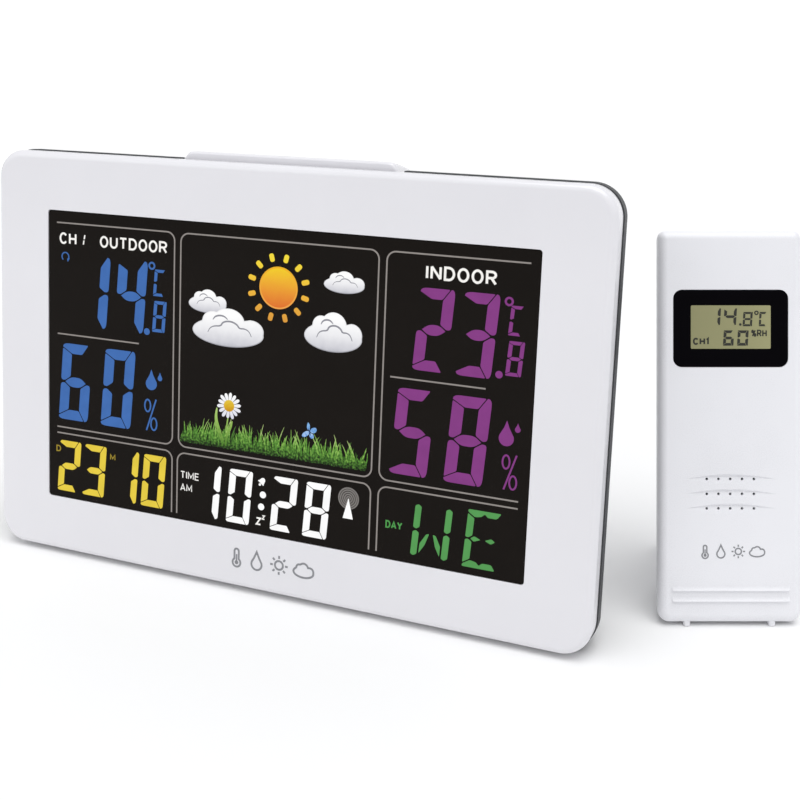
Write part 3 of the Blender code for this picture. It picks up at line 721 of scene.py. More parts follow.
def lettering(text, x0, x1, z0, z1, y, weight=0.17, thick=0.05, rear=False):
    """Plain letters that fill a box, as thin solids that read from the front, or the rear. weight
    is the stroke's width as a share of the letters' height."""
    table, wide = letter_table(), weight * (z1 - z0)
    letters = [table[char] for char in text]
    gap = 0.2 + weight
    run = sum(w for w, _ in letters) + gap * (len(letters) - 1)
    unit = (x1 - x0 - wide) / max(run, 0.01) if len(letters) > 1 or run else 0.0
    x, tall, shapes = x0 + wide / 2, z1 - z0 - wide, []
    for w, strokes in letters:
        for stroke in strokes:
            points = [(x + a * w * unit, z0 + wide / 2 + b * tall) for a, b in stroke]
            closed = stroke[0] == stroke[-1]
            if rear:
                points = [(x0 + x1 - a, b) for a, b in points]
            ends = (y, y + thick) if rear else (y - thick, y)
            shapes.append(band(points[:-1] if closed else points, wide, *ends, closed=closed))
        x += (w + gap) * unit
    return merged(shapes)


def merged(shapes):
    """Several closed shapes as one list of points and faces."""
    verts, faces = [], []
    for more, sides in shapes:
        faces += [tuple(i + len(verts) for i in face) for face in sides]
        verts += more
    return verts, faces


# ---------------------------------------------------------------- display unit
class StationOperator:
    """What every operator of this add-on shares."""
    bl_options = {"REGISTER", "UNDO"}

    @classmethod
    def poll(cls, context):
        return context.scene is not None


def case_outline(inset, y, corner, steps=14):
    return outline(CASE_W - 2 * inset, CASE_H - 2 * inset, max(corner - inset, 0.5), 0,
                   CASE_H / 2, steps), y


class STATION_OT_front_frame(StationOperator, bpy.types.Operator):
    """Build the glossy white front frame with its soft edge, window rebate and screw bosses"""
    bl_idname = "station.front_frame"
    bl_label = "Front frame"

    def execute(self, context):
        use = context.scene.station_display
        soft, corner = use.frame_soft_edge / MM, use.case_corner / MM
        wall, plate, rebate, depth, lip = 2.2, 2.4, 1.25, 6.5, 0.2

        def opening(grow, y, extra=0.0):
            return outline(160 + 2 * grow, 93 + 2 * grow, 0.9 + extra, 0, SCREEN_Z, 14), y
        rings = [opening(lip * (1 - math.sin(a)), lip * (1 - math.cos(a)))
                 for a in (0, math.pi / 6, math.pi / 3, math.pi / 2)]
        rings += [opening(0, rebate), opening(3.5, rebate, 0.6), opening(3.5, plate, 0.6),
                  case_outline(wall, plate, corner), case_outline(wall, depth, corner),
                  case_outline(0.15, depth, corner), case_outline(0, depth - 0.15, corner)]
        for k in range(8):
            a = math.pi / 2 * k / 7
            rings.append(case_outline(soft * (1 - math.cos(a)), soft * (1 - math.sin(a)), corner))
        bosses = [loft([(oval(6, 6, x, z, 20), plate - 0.6), (oval(6, 6, x, z, 20), 20.0),
                        (oval(3, 3, x, z, 20), 20.0), (oval(3, 3, x, z, 20), 6.0)])
                  for x, z in screw_places()]
        make_piece("front_frame_moulding", DISPLAY, "display_unit",
                   moulded_gloss_abs("gloss_white_abs", use.bezel_colour),
                   [loft(rings, looped=True)] + bosses, replaces=("front_frame",))
        return {"FINISHED"}


def screw_places():
    """Middles of the four case screws in x and z."""
    boxes = [span(f"case_screw_{k}", DISPLAY) for k in (1, 2, 3, 4)]
    return [((b[0][0] + b[0][1]) / 2, (b[2][0] + b[2][1]) / 2) for b in boxes]


class STATION_OT_window(StationOperator, bpy.types.Operator):
    """Build the smoked acrylic window with its polished edge"""
    bl_idname = "station.window"
    bl_label = "Display window"

    def execute(self, context):
        use = context.scene.station_display
        make_piece("display_window_plate", DISPLAY, "display_unit",
                   smoked_acrylic("smoked_acrylic", use.screen_colour, 0.1, 0.06),
                   [slab(159.7, 92.7, 0.9, WINDOW_Y, WINDOW_Y + 1.5, 0, SCREEN_Z, 6, 0.12)],
                   [("add", [slab(WINDOW_W, WINDOW_H, 1.2, WINDOW_Y + 1.3, WINDOW_Y + 2.4, 0,
                                  SCREEN_Z, 6)])],
                   replaces=("display_window",))
        return {"FINISHED"}


class STATION_OT_screen_lines(StationOperator, bpy.types.Operator):
    """Build the warm grey lines that box each reading"""
    bl_idname = "station.screen_lines"
    bl_label = "Screen lines"

    def execute(self, context):
        use = context.scene.station_display
        r, wide = 2.7, use.line_width / MM
        left, right, top, base, low, foot = -76.7, 77.1, 42.7, -23.1, -25.1, -44.6
        paths = [
            [(left, top)] + arc(-33.5 - r, top - r, r, r, 90, 0, 8)
            + arc(-33.5 - r, base + r, r, r, 0, -90, 8) + [(left, base)],
            [(left, low)] + arc(-33.5 - r, low - r, r, r, 90, 0, 8) + [(-33.5, foot)],
            [(-31.6, foot)] + arc(-31.6 + r, low - r, r, r, 180, 90, 8)
            + arc(33.3 - r, low - r, r, r, 90, 0, 8) + [(33.3, foot)],
            [(right, top)] + arc(35.7 + r, top - r, r, r, 90, 180, 8)
            + arc(35.7 + r, base + r, r, r, 180, 270, 8) + [(right, base)],
            [(right, low)] + arc(35.7 + r, low - r, r, r, 90, 180, 8) + [(35.7, foot)],
            [(-76.5, 7.3), (-46.0, 7.3)], [(38, 7.2), (66.2, 7.2)]]
        shapes = [film_line(on_screen(p), wide) for p in paths]
        shapes.append(film_line(outline(64.6, 65.8, r, 1.0, SCREEN_Z + 9.8, 8), wide, True))
        make_piece("screen_box_lines", DISPLAY, "display_unit",
                   lit_film("warm_grey_screen_print", use.line_colour, 2.0), shapes)
        return {"FINISHED"}


class STATION_OT_readings(StationOperator, bpy.types.Operator):
    """Build the lit figures of the outdoor, indoor, date, time and weekday readings"""
    bl_idname = "station.readings"
    bl_label = "Lit readings"

    def execute(self, context):
        use = context.scene.station_display
        lean, gap, y = use.figure_lean, use.figure_gap / MM, WINDOW_Y

        def row(entries, w, h, z, side, bar, soft=2.2, gap=gap):
            made = []
            for char, x in entries:
                made += figure(char, x, SCREEN_Z + z, w, h, side, bar, y, lean, gap, soft)
            return made

        def dot(x, z, r):
            return film(oval(2 * r, 2 * r, x, SCREEN_Z + z, 20))

        def circle(x, z, r, wide):
            return film_line(oval(2 * r, 2 * r, x, SCREEN_Z + z, 24), wide, True)

        def percent(x0, x1, z0, z1):
            w, h = x1 - x0, z1 - z0
            rounds = [(x0 + w * 0.27, z1 - h * 0.22), (x1 - w * 0.27, z0 + h * 0.22)]
            return ([film_line(oval(w * 0.42, h * 0.38, x, SCREEN_Z + z, 20), 0.5, True)
                     for x, z in rounds]
                    + [film_line(on_screen([(x0 + w * 0.2, z0), (x1 - w * 0.12, z1)]), 0.5)])

        loop = film_line(arc(-73.5, SCREEN_Z + 32.1, 1.3, 1.3, -40, 230, 18), 0.4)
        head = film(on_screen([(-72.9, 31.5), (-71.8, 31.7), (-72.6, 30.5)]))
        outdoor = (row([("1", -68.8), ("4", -55.2)], 10.8, 22.7, 10.4, 3.7, 3.3)
                   + row([("6", -76.3), ("0", -60.2)], 11.4, 25.1, -20.5, 3.8, 3.5)
                   + row([("C", -41.1)], 4.4, 8.4, 22.6, 1.25, 1.1, 0.4, 0.22)
                   + row([("8", -41.3)], 4.6, 9.8, 11.5, 1.3, 1.15, 0.5, 0.16)
                   + [circle(-41.5, 31.9, 0.95, 0.58), dot(-43.1, 11.4, 1.05), loop, head,
                      drop(-41.3, -6.8, -0.3, 4.0), drop(-38.2, -3.6, -0.9, 1.6)]
                   + percent(-43.9, -38.9, -19.7, -9.6))
        indoor = (row([("2", 44.3), ("3", 57.2)], 10.4, 23.7, 9.9, 3.6, 3.3)
                  + row([("5", 38.6), ("8", 55.0)], 11.6, 25.4, -20.8, 3.8, 3.5)
                  + row([("C", 71.6)], 4.2, 8.4, 22.6, 1.25, 1.1, 0.4, 0.22)
                  + row([("8", 71.4)], 4.6, 9.8, 11.5, 1.3, 1.15, 0.5, 0.16)
                  + [circle(71.6, 31.9, 0.98, 0.6), dot(69.8, 11.6, 1.05),
                     drop(72.8, -8.0, -0.8, 4.3), drop(75.9, -3.8, -1.2, 1.6)]
                  + percent(71.8, 76.6, -20.2, -10.2))
        date = row([("2", -76.8), ("3", -67.1), ("1", -54.9), ("0", -45.0)], 8.3, 17.0, -44.3,
                   2.5, 2.3, 1.0, 0.24)
        time = (row([("1", -25.1), ("0", -14.3), ("2", 0.8), ("8", 11.6)], 8.1, 17.0, -44.3,
                    2.4, 2.2, 1.0, 0.22)
                + [dot(-1.6, -33.9, 1.05), dot(-2.1, -37.7, 1.05)] + self.bell()
                + [prism(on_screen([(24.8, -36.5), (28.0, -36.5), (26.45, -30.3)]), y - 0.1, y)])
        for name, colour, shapes in (("outdoor", use.outdoor_colour, outdoor),
                                     ("indoor", use.indoor_colour, indoor),
                                     ("date", use.date_colour, date),
                                     ("time", use.time_colour, time),
                                     ("weekday", use.day_colour, self.weekday(lean))):
            make_piece(f"{name}_reading", DISPLAY, "display_unit",
                       lit_film(f"backlit_{name}_film", colour), shapes)
        rings = [film_line(oval(2 * r, 2 * r, 26.45, SCREEN_Z - 30.4, 28), 0.42, True)
                 for r in (0.55, 1.2, 1.85, 2.5, 3.1)]
        make_piece("radio_signal_rings", DISPLAY, "display_unit",
                   lit_film("grey_screen_print", linear("#7E7A77"), 2.0), rings)
        return {"FINISHED"}

    @staticmethod
    def bell():
        """Alarm bell, tipped to the left, with its clapper."""
        shape = [(-1.25, -0.9), (1.25, -0.9), (0.95, -0.45), (0.75, 0.6), (0.3, 1.1), (-0.3, 1.1),
                 (-0.75, 0.6), (-0.95, -0.45)]
        tipped = spun(shape, -1.9, SCREEN_Z - 29.7, math.radians(-38))
        return [film(rounded_corners(tipped, [0.2] * 8, 2)),
                film(oval(0.8, 0.8, -2.7, SCREEN_Z - 30.85, 12))]

    @staticmethod
    def weekday(lean):
        """W and E on starburst strokes: split uprights, diagonals and notched bars."""
        def put(points, x, z, soft=0.35):
            points = rounded_corners(drawn_in(points, 0.1), [soft] * len(points), 3)
            return film([(x + a + lean * b, SCREEN_Z + z + b) for a, b in points])

        def upright(x, low, high):
            return [(x, low + 0.5), (x + 1.05, low), (x + 2.1, low + 0.7), (x + 2.1, high - 0.7),
                    (x + 1.05, high), (x, high - 0.5)]
        first = [upright(0.0, 7.6, 15.1), upright(0.0, -0.4, 7.4), upright(9.3, 7.6, 15.1),
                 upright(9.3, -0.4, 7.4),
                 [(2.5, 0.4), (4.2, 3.2), (5.3, 6.9), (4.2, 6.6), (2.5, 3.6)],
                 [(8.9, 0.4), (8.9, 3.6), (7.2, 6.6), (6.1, 6.9), (7.2, 3.2)]]
        h = 17.0
        bars = [[(0, h - 0.9), (2.2, h - 2.3), (4.2, h - 1.9), (5.0, h - 1.0), (5.8, h - 1.9),
                 (8.6, h - 1.9), (9.9, h), (0, h)],
                [(0, 0.9), (0, 0), (9.9, 0), (8.6, 1.9), (5.8, 1.9), (5.0, 1.0), (4.2, 1.9),
                 (2.2, 2.3)]]
        second = [[(0, h - 1.1), (0, 8.8), (1.0, 8.6), (2.2, 9.4), (2.2, h - 2.5)],
                  [(0, 1.1), (2.2, 2.5), (2.2, 7.6), (1.0, 8.4), (0, 8.2)],
                  [(1.4, 8.5), (2.7, 7.6), (4.9, 8.5), (2.7, 9.4)],
                  [(5.6, 8.5), (7.7, 7.6), (9.0, 8.5), (7.7, 9.4)]]
        return ([put(p, 46.1, -43.5) for p in first] + [put(p, 61.7, -44.3, 0.5) for p in bars]
                + [put(p, 61.7, -44.3) for p in second])


class STATION_OT_legends(StationOperator, bpy.types.Operator):
    """Build the small white, yellow and green legends beside the readings"""
    bl_idname = "station.legends"
    bl_label = "Screen legends"

    def execute(self, context):
        def words(*entries):
            return [lettering(t, x0, x1, SCREEN_Z + z0, SCREEN_Z + z1, WINDOW_Y, weight)
                    for t, x0, x1, z0, z1, weight in entries]
        white = words(("CH", -75.7, -69.3, 36.0, 39.7, 0.17),
                      ("OUTDOOR", -60.5, -36.1, 36.0, 39.7, 0.17),
                      ("INDOOR", 47.4, 67.9, 35.8, 39.8, 0.175),
                      ("TIME", -30.4, -23.8, -33.1, -30.8, 0.14),
                      ("AM", -30.4, -26.2, -37.1, -34.8, 0.14),
                      ("Z", -3.8, -2.0, -43.5, -41.1, 0.2), ("Z", -1.8, -0.7, -41.6, -40.2, 0.24))
        white += [film(on_screen(p)) for p in (
            [(-66.9, 36.4), (-66.45, 36.4), (-66.25, 37.7), (-66.7, 37.7)],
            [(-66.6, 38.1), (-66.15, 38.1), (-65.9, 39.4), (-66.35, 39.4)])]
        for name, colour, shapes in (
                ("white", linear("#F2F0EC"), white),
                ("yellow", linear("#A08A2E"), words(("D", -77.1, -75.3, -31.4, -29.3, 0.17),
                                                    ("M", -56.4, -54.4, -31.3, -29.3, 0.17))),
                ("green", linear("#4E9A4E"), words(("DAY", 38.3, 43.5, -37.1, -34.8, 0.18)))):
            make_piece(f"{name}_legends", DISPLAY, "display_unit",
                       lit_film(f"{name}_screen_print", colour, 2.0), shapes)
        return {"FINISHED"}


CLOUD_PUFFS = [(0.0, -0.26, 1.0, 0.74), (0.02, 0.28, 0.45, 0.72), (-0.42, 0.28, 0.3, 0.5),
               (0.64, -0.06, 0.36, 0.58)]
CLOUD_FOLDS = [[(-0.42, 0.34), (-0.36, 0.52), (-0.24, 0.6), (-0.1, 0.58), (0.0, 0.42)],
               [(-0.56, -0.34), (-0.5, -0.1), (-0.38, 0.02), (-0.19, 0.05), (-0.15, 0.24),
                (-0.02, 0.34), (0.14, 0.33), (0.27, 0.2), (0.33, 0.02), (0.47, 0.05),
                (0.6, -0.06), (0.67, -0.34)]]


def smoothed(points, rounds=2):
    """Cuts the corners of an open line until it reads as a curve."""
    for _ in range(rounds):
        made = [points[0]]
        for a, b in zip(points, points[1:]):
            made += [(a[0] * 0.75 + b[0] * 0.25, a[1] * 0.75 + b[1] * 0.25),
                     (a[0] * 0.25 + b[0] * 0.75, a[1] * 0.25 + b[1] * 0.75)]
        points = made + [points[-1]]
    return points


def cloud_outline(w, h, puffs, steps=72):
    """Outer edge of overlapping ovals, found along rays from the cloud's middle."""
    points = []
    for i in range(steps):
        a = 2 * math.pi * i / steps
        dx, dz, far = math.cos(a), math.sin(a), 0.0
        for cx, cz, rx, rz in puffs:
            p, q = dx / rx, dz / rz
            u, v = cx / rx, (cz + 0.1) / rz
            lead, mid, end = p * p + q * q, p * u + q * v, u * u + v * v - 1
            under = mid * mid - lead * end
            if under > 0:
                far = max(far, (mid + math.sqrt(under)) / lead)
        points.append((dx * far * w / 2, (dz * far - 0.1) * h / 2))
    return points


class STATION_OT_forecast(StationOperator, bpy.types.Operator):
    """Build the forecast picture: sun, clouds, daisy, butterfly and grass"""
    bl_idname = "station.forecast"
    bl_label = "Forecast picture"

    def execute(self, context):
        self.sun(1.9, SCREEN_Z + 29.1, 6.25)
        clouds = [("far_left", -21.8, 22.9, 13.0, 7.1, 1), ("left", -14.7, 15.6, 24.2, 11.6, 2),
                  ("right", 19.8, 17.9, 18.3, 11.6, 1), ("far_right", 22.8, 32.6, 12.7, 6.4, 1)]
        for name, x, z, w, h, layer in clouds:
            self.cloud(name, x, SCREEN_Z + z, w, h, layer)
        self.daisy(-13.7, SCREEN_Z - 8.1)
        self.butterfly(13.4, SCREEN_Z - 12.3)
        self.grass()
        return {"FINISHED"}

    @staticmethod
    def put(name, finish, shapes, x=0.0, z=0.0):
        return make_piece(name, DISPLAY, "display_unit", finish, shapes,
                          origin=(x, WINDOW_Y, z))

    def sun(self, x, z, r):
        y = WINDOW_Y
        warm = graded_film("sun_disc_film", [(0.0, "#DD6A2A"), (0.38, "#E8922E"), (0.72, "#EFB62C"),
                (1.0, "#F2CF22")], -r, r, 0.03, 3.0)
        self.put("sun_disc", warm, [film(oval(2 * r, 2 * r, x, z, 48))], x, z)
        rim = graded_film("sun_rim_film", [(0.0, "#F0A24A"), (1.0, "#EDB01E")], -r, r)
        self.put("sun_rim", rim, [band(oval(2 * r - 0.5, 2 * r - 0.5, x, z, 48), 0.45, y - 0.08,
                                       y - 0.04, True)], x, z)
        rays = []
        for k in range(12):
            half, a, b = 0.76, r + 1.5, r + 4.0
            bar = rounded_corners([(a, -half), (b, -half), (b, half), (a, half)],
                                  [half * 0.98] * 4, 5)
            rays.append(film(spun(bar, x, z, math.radians(15 + 30 * k))))
        glow = graded_film("sun_ray_film", [(0.0, "#D9963A"), (0.45, "#EDB53A"), (0.7, "#F0CC38"),
                (1.0, "#F2DC3A")], -10.4, 10.4, 0.05, 0.8)
        self.put("sun_rays", glow, rays, x, z)

    def cloud(self, name, x, z, w, h, layer):
        y, top = WINDOW_Y, 0.05 * layer
        edge = cloud_outline(w, h, CLOUD_PUFFS)
        white = graded_film(f"{name}_cloud_film", [(0.0, "#B9BAC2"), (0.12, "#CFCFD6"),
                (0.45, "#EDEDF0"), (0.8, "#FDFDFD")],
                            -h / 2, h / 2, 0.04, 2.5)
        rim = graded_film(f"{name}_cloud_rim_film", [(0.0, "#9E9EA6"), (0.5, "#D8D8DC"),
                (0.9, "#F4F4F4")], -h / 2, h / 2)
        self.put(f"{name}_cloud_rim", rim, [prism(moved(edge, x, z), y - top + 0.02, y)], x, z)
        inner = moved(drawn_in(edge, 0.28 if w > 15 else 0.2), x, z)
        self.put(f"{name}_cloud", white, [prism(inner, y - top, y)], x, z)
        folds = []
        for path in CLOUD_FOLDS:
            line = smoothed([(x + a * w / 2, z + b * h / 2) for a, b in path])
            n = len(line)
            wide = [0.046 * h * (0.3 + 0.7 * math.sin(math.pi * (i + 0.5) / n)) for i in range(n)]
            folds.append(band(line, wide, y - top - 0.03, y - top + 0.01))
        self.put(f"{name}_cloud_folds", graded_film(f"{name}_cloud_fold_film",
                [(0.0, "#85858E"), (1.0, "#96969E")], -h, h),
                 folds, x, z)

    def daisy(self, x, z):
        y = WINDOW_Y
        petals = []
        for k in range(14):
            turn = 2 * math.pi * (k + 0.25) / 14
            reach = 4.15 + 0.15 * math.sin(3.0 * k)
            shape = [(1.2, -0.22), (2.6, -0.5), (reach - 0.5, -0.52), (reach, 0),
                     (reach - 0.5, 0.52), (2.6, 0.5), (1.2, 0.22)]
            shape = rounded_corners(shape, [0, 0.3, 0.4, 0.4, 0.4, 0.3, 0], 3)
            petals.append(prism(spun(shape, x, z, turn), y - 0.12 - 0.01 * (k % 2), y - 0.04))
        white = graded_film("daisy_petal_film", [(0.0, "#DCDDEA"), (1.0, "#FCFCFC")], -4, 4, 0.12,
                            0.9)
        self.put("daisy_petals", white, petals, x, z)
        gold = graded_film("daisy_middle_film", [(0.0, "#C98F16"), (0.5, "#D9AE22"),
                (1.0, "#E3C23A")], -1.7, 1.7, 0.2, 0.5)
        self.put("daisy_middle", gold, [prism(oval(3.6, 3.6, x, z, 24), y - 0.16, y - 0.04)], x, z)
        leaves = []
        for path, wide in (([(-17.9, -9.2), (-18.3, -12.5), (-17.3, -15.8), (-15.2, -20.6)], 1.25),
                           ([(-12.6, -12.7), (-13.2, -15.0), (-14.6, -17.2), (-15.0, -20.6)], 1.2),
                           ([(-13.7, -9.5), (-14.3, -13.5), (-15.0, -20.6)], 0.5)):
            line = smoothed(on_screen(path))
            n = len(line)
            widths = [wide * math.sin(math.pi * (0.06 + 0.6 * i / n)) for i in range(n)]
            leaves.append(band(line, widths, y - 0.1, y))
        self.put("daisy_leaves", graded_film("daisy_leaf_film", [(0.0, "#4F7F2A"), (0.5, "#8DB454"),
                                    (1.0, "#B4CF78")], -12, 0, 0.1,
                0.8), leaves, x, z)

    def butterfly(self, x, z):
        y = WINDOW_Y
        wings = [[(-0.1, 0.2), (0.0, 1.9), (-0.6, 2.9), (-1.0, 1.9), (-0.9, 0.7)],
                 [(0.0, 0.2), (0.6, 1.2), (1.9, 1.5), (2.3, 0.7), (1.7, -0.2), (0.7, -0.4)],
                 [(-0.1, 0.0), (-1.0, 0.2), (-2.3, -0.7), (-2.6, -1.8), (-1.4, -1.8), (-0.3, -0.9)],
                 [(0.1, -0.3), (1.2, -0.7), (1.4, -1.7), (0.6, -2.1), (-0.2, -1.2)]]
        shapes = [prism(moved(rounded_corners(w, [0.45] * len(w), 3), x, z),
                        y - 0.14 - 0.01 * k, y - 0.04) for k, w in enumerate(wings)]
        self.put("butterfly_wings", graded_film("butterfly_wing_film",
                [(0.0, "#5D93D8"), (0.35, "#A9C8EE"),
                 (0.6, "#5F97D6"), (1.0, "#8DBBE8")],
                -2.2, 2.9, 0.3, 0.9), shapes, x, z)
        spine = band([(x - 0.5, z + 0.9), (x, z - 0.1), (x + 0.3, z - 1.0)], [0.15, 0.32, 0.15],
                     y - 0.2, y - 0.04)
        self.put("butterfly_body", lit_film("butterfly_body_film", linear("#27406B")), [spine],
                 x, z)

    def grass(self):
        """Three rows of leaning blades, dark at the back and pale at the front."""
        y, pick = WINDOW_Y, random.Random(7)
        rows = [("back", 150, (3.5, 7.5), (0.5, 0.8), 0.03,
                 [(0.0, "#101B09"), (0.2, "#2A4A16"), (0.6, "#45702A"), (1.0, "#5E8A3C")]),
                ("middle", 120, (3.8, 9.0), (0.45, 0.75), 0.06,
                 [(0.0, "#152409"), (0.2, "#386321"), (0.55, "#5C9436"), (1.0, "#92B45E")]),
                ("front", 70, (3.0, 9.4), (0.35, 0.6), 0.09,
                 [(0.0, "#1B2F0D"), (0.25, "#4B7A2C"), (0.55, "#7FB04A"), (1.0, "#BBD088")])]
        for name, count, tall, wide, up, stops in rows:
            blades = []
            for k in range(count):
                x = -30.6 + 62.2 * (k + pick.uniform(0.1, 0.9)) / count
                foot = -21.4 + pick.uniform(-0.2, 0.5)
                edge = min(1.0, 0.62 + 0.06 * min(x + 31, 32 - x))
                reach = pick.uniform(*tall) * edge * pick.choice((0.75, 0.9, 1.0, 1.0))
                bend = pick.uniform(-0.36, 0.36) * reach
                line = [(x + bend * t * t, foot + reach * t) for t in (0, 0.3, 0.6, 0.85, 1.0)]
                line = [(min(31.9, max(-31.0, a)), b) for a, b in line]
                w = pick.uniform(*wide)
                blades.append(band(on_screen(line), [w, w * 0.95, w * 0.7, w * 0.35, 0.04],
                                   y - up - 0.02 * (k % 3) / 3, y))
            middle = SCREEN_Z - 17
            self.put(f"grass_{name}", graded_film(f"grass_{name}_film", stops, -4.6, 4.2, 0.3, 0.7),
                     blades, 0.0, middle)


class STATION_OT_marks(StationOperator, bpy.types.Operator):
    """Build the plain grey weather marks printed under the window and on the sensor"""
    bl_idname = "station.marks"
    bl_label = "Printed marks"

    def execute(self, context):
        grey = linear("#8B8C90")
        for name, place, body, x, z, size in (
                ("display", DISPLAY, "display_unit", 1.5, 9.7, 1.0),
                ("sensor", SENSOR, "outdoor_sensor", 0.2, 20.7, 0.66)):
            make_piece(f"{name}_weather_marks", place, body, printed_ink(f"{name}_grey_ink", grey),
                       self.marks(x, z, size))
        return {"FINISHED"}

    @staticmethod
    def marks(x, z, s):
        """Thermometer, drop, sun and cloud in one line weight."""
        y0, y1, wide = -INK, 0.02, 0.62 * s

        def line(points, closed=False, w=wide):
            return band(moved(points, x, z, s), w, y0, y1, closed)
        stem = arc(-11.5, 1.9, 0.75, 0.75, 0, 180, 8)
        bulb = arc(-11.5, -1.7, 1.35, 1.35, 123, 417, 18)
        made = [line(stem + bulb, True),
                prism(oval(1.3 * s, 1.3 * s, x - 11.5 * s, z - 1.7 * s, 16), y0, y1),
                line([(-11.5, -1.7), (-11.5, 0.9)], w=0.5 * s)]
        wet = [(-4.6 + 1.75 * math.cos(math.radians(a)), -1.1 + 1.75 * math.sin(math.radians(a)))
               for a in range(-205, 26, 15)]
        made.append(line(wet + [(-3.75, 0.9), (-4.6, 2.8), (-5.45, 0.9)], True))
        made.append(line(arc(3.0, 0, 1.35, 1.35, 0, 345, 23), True))
        made += [line(spun([(2.05, 0), (2.95, 0)], 3, 0, math.radians(45 * k))) for k in range(8)]
        made.append(line(moved(cloud_outline(6.6, 4.4, CLOUD_PUFFS, 48), 11.2, -0.1), True))
        return made


class STATION_OT_snooze_bar(StationOperator, bpy.types.Operator):
    """Build the long snooze and light bar on top of the case"""
    bl_idname = "station.snooze_bar"
    bl_label = "Snooze bar"

    def execute(self, context):
        use = context.scene.station_display
        top = span("snooze_bar", DISPLAY)[2][1]
        half, tip = 36.5, 33.0

        def section(shoulder, crown, inset):
            a, b = half - inset, tip - inset
            right = [(a, 123.6), (a, shoulder),
                     (b + (a - b) * 0.42, shoulder + (crown - shoulder) * 0.62),
                     (b + 0.6, crown - 0.35), (b - 0.4, crown - 0.1), (b - 2.2, crown)]
            radii = [0, 0.8, 2.0, 0.8, 0.8, 2.0]
            return rounded_corners(right + [(-x, z) for x, z in reversed(right)],
                                   radii + radii[::-1])
        rings = [(section(127.0, top - 0.75, 0.5), 7.1), (section(127.3, top - 0.3, 0.15), 7.3),
                 (section(127.5, top - 0.05, 0.0), 7.9), (section(127.5, top, 0.0), 8.6),
                 (section(127.3, top - 0.35, 0.0), 11.5), (section(126.9, top - 1.0, 0.0), 15.5),
                 (section(126.5, top - 1.75, 0.0), 19.2), (section(126.4, top - 2.1, 0.1), 20.2),
                 (section(126.3, top - 2.6, 0.5), 20.6)]
        inner = [block(-35.0, 35.0, 9.6, 19.2, 122.6, 124.2),
                 block(-39.4, 39.4, 9.2, 19.6, 121.4, 123.0),
                 block(-3.0, 3.0, 12.6, 16.2, 119.6, 122.0)]
        make_piece("snooze_bar_cap", DISPLAY, "snooze_bar",
                   moulded_gloss_abs("gloss_white_bar_abs", use.bezel_colour),
                   [loft(rings)] + inner, replaces=("snooze_bar",), sharp=50)
        return {"FINISHED"}


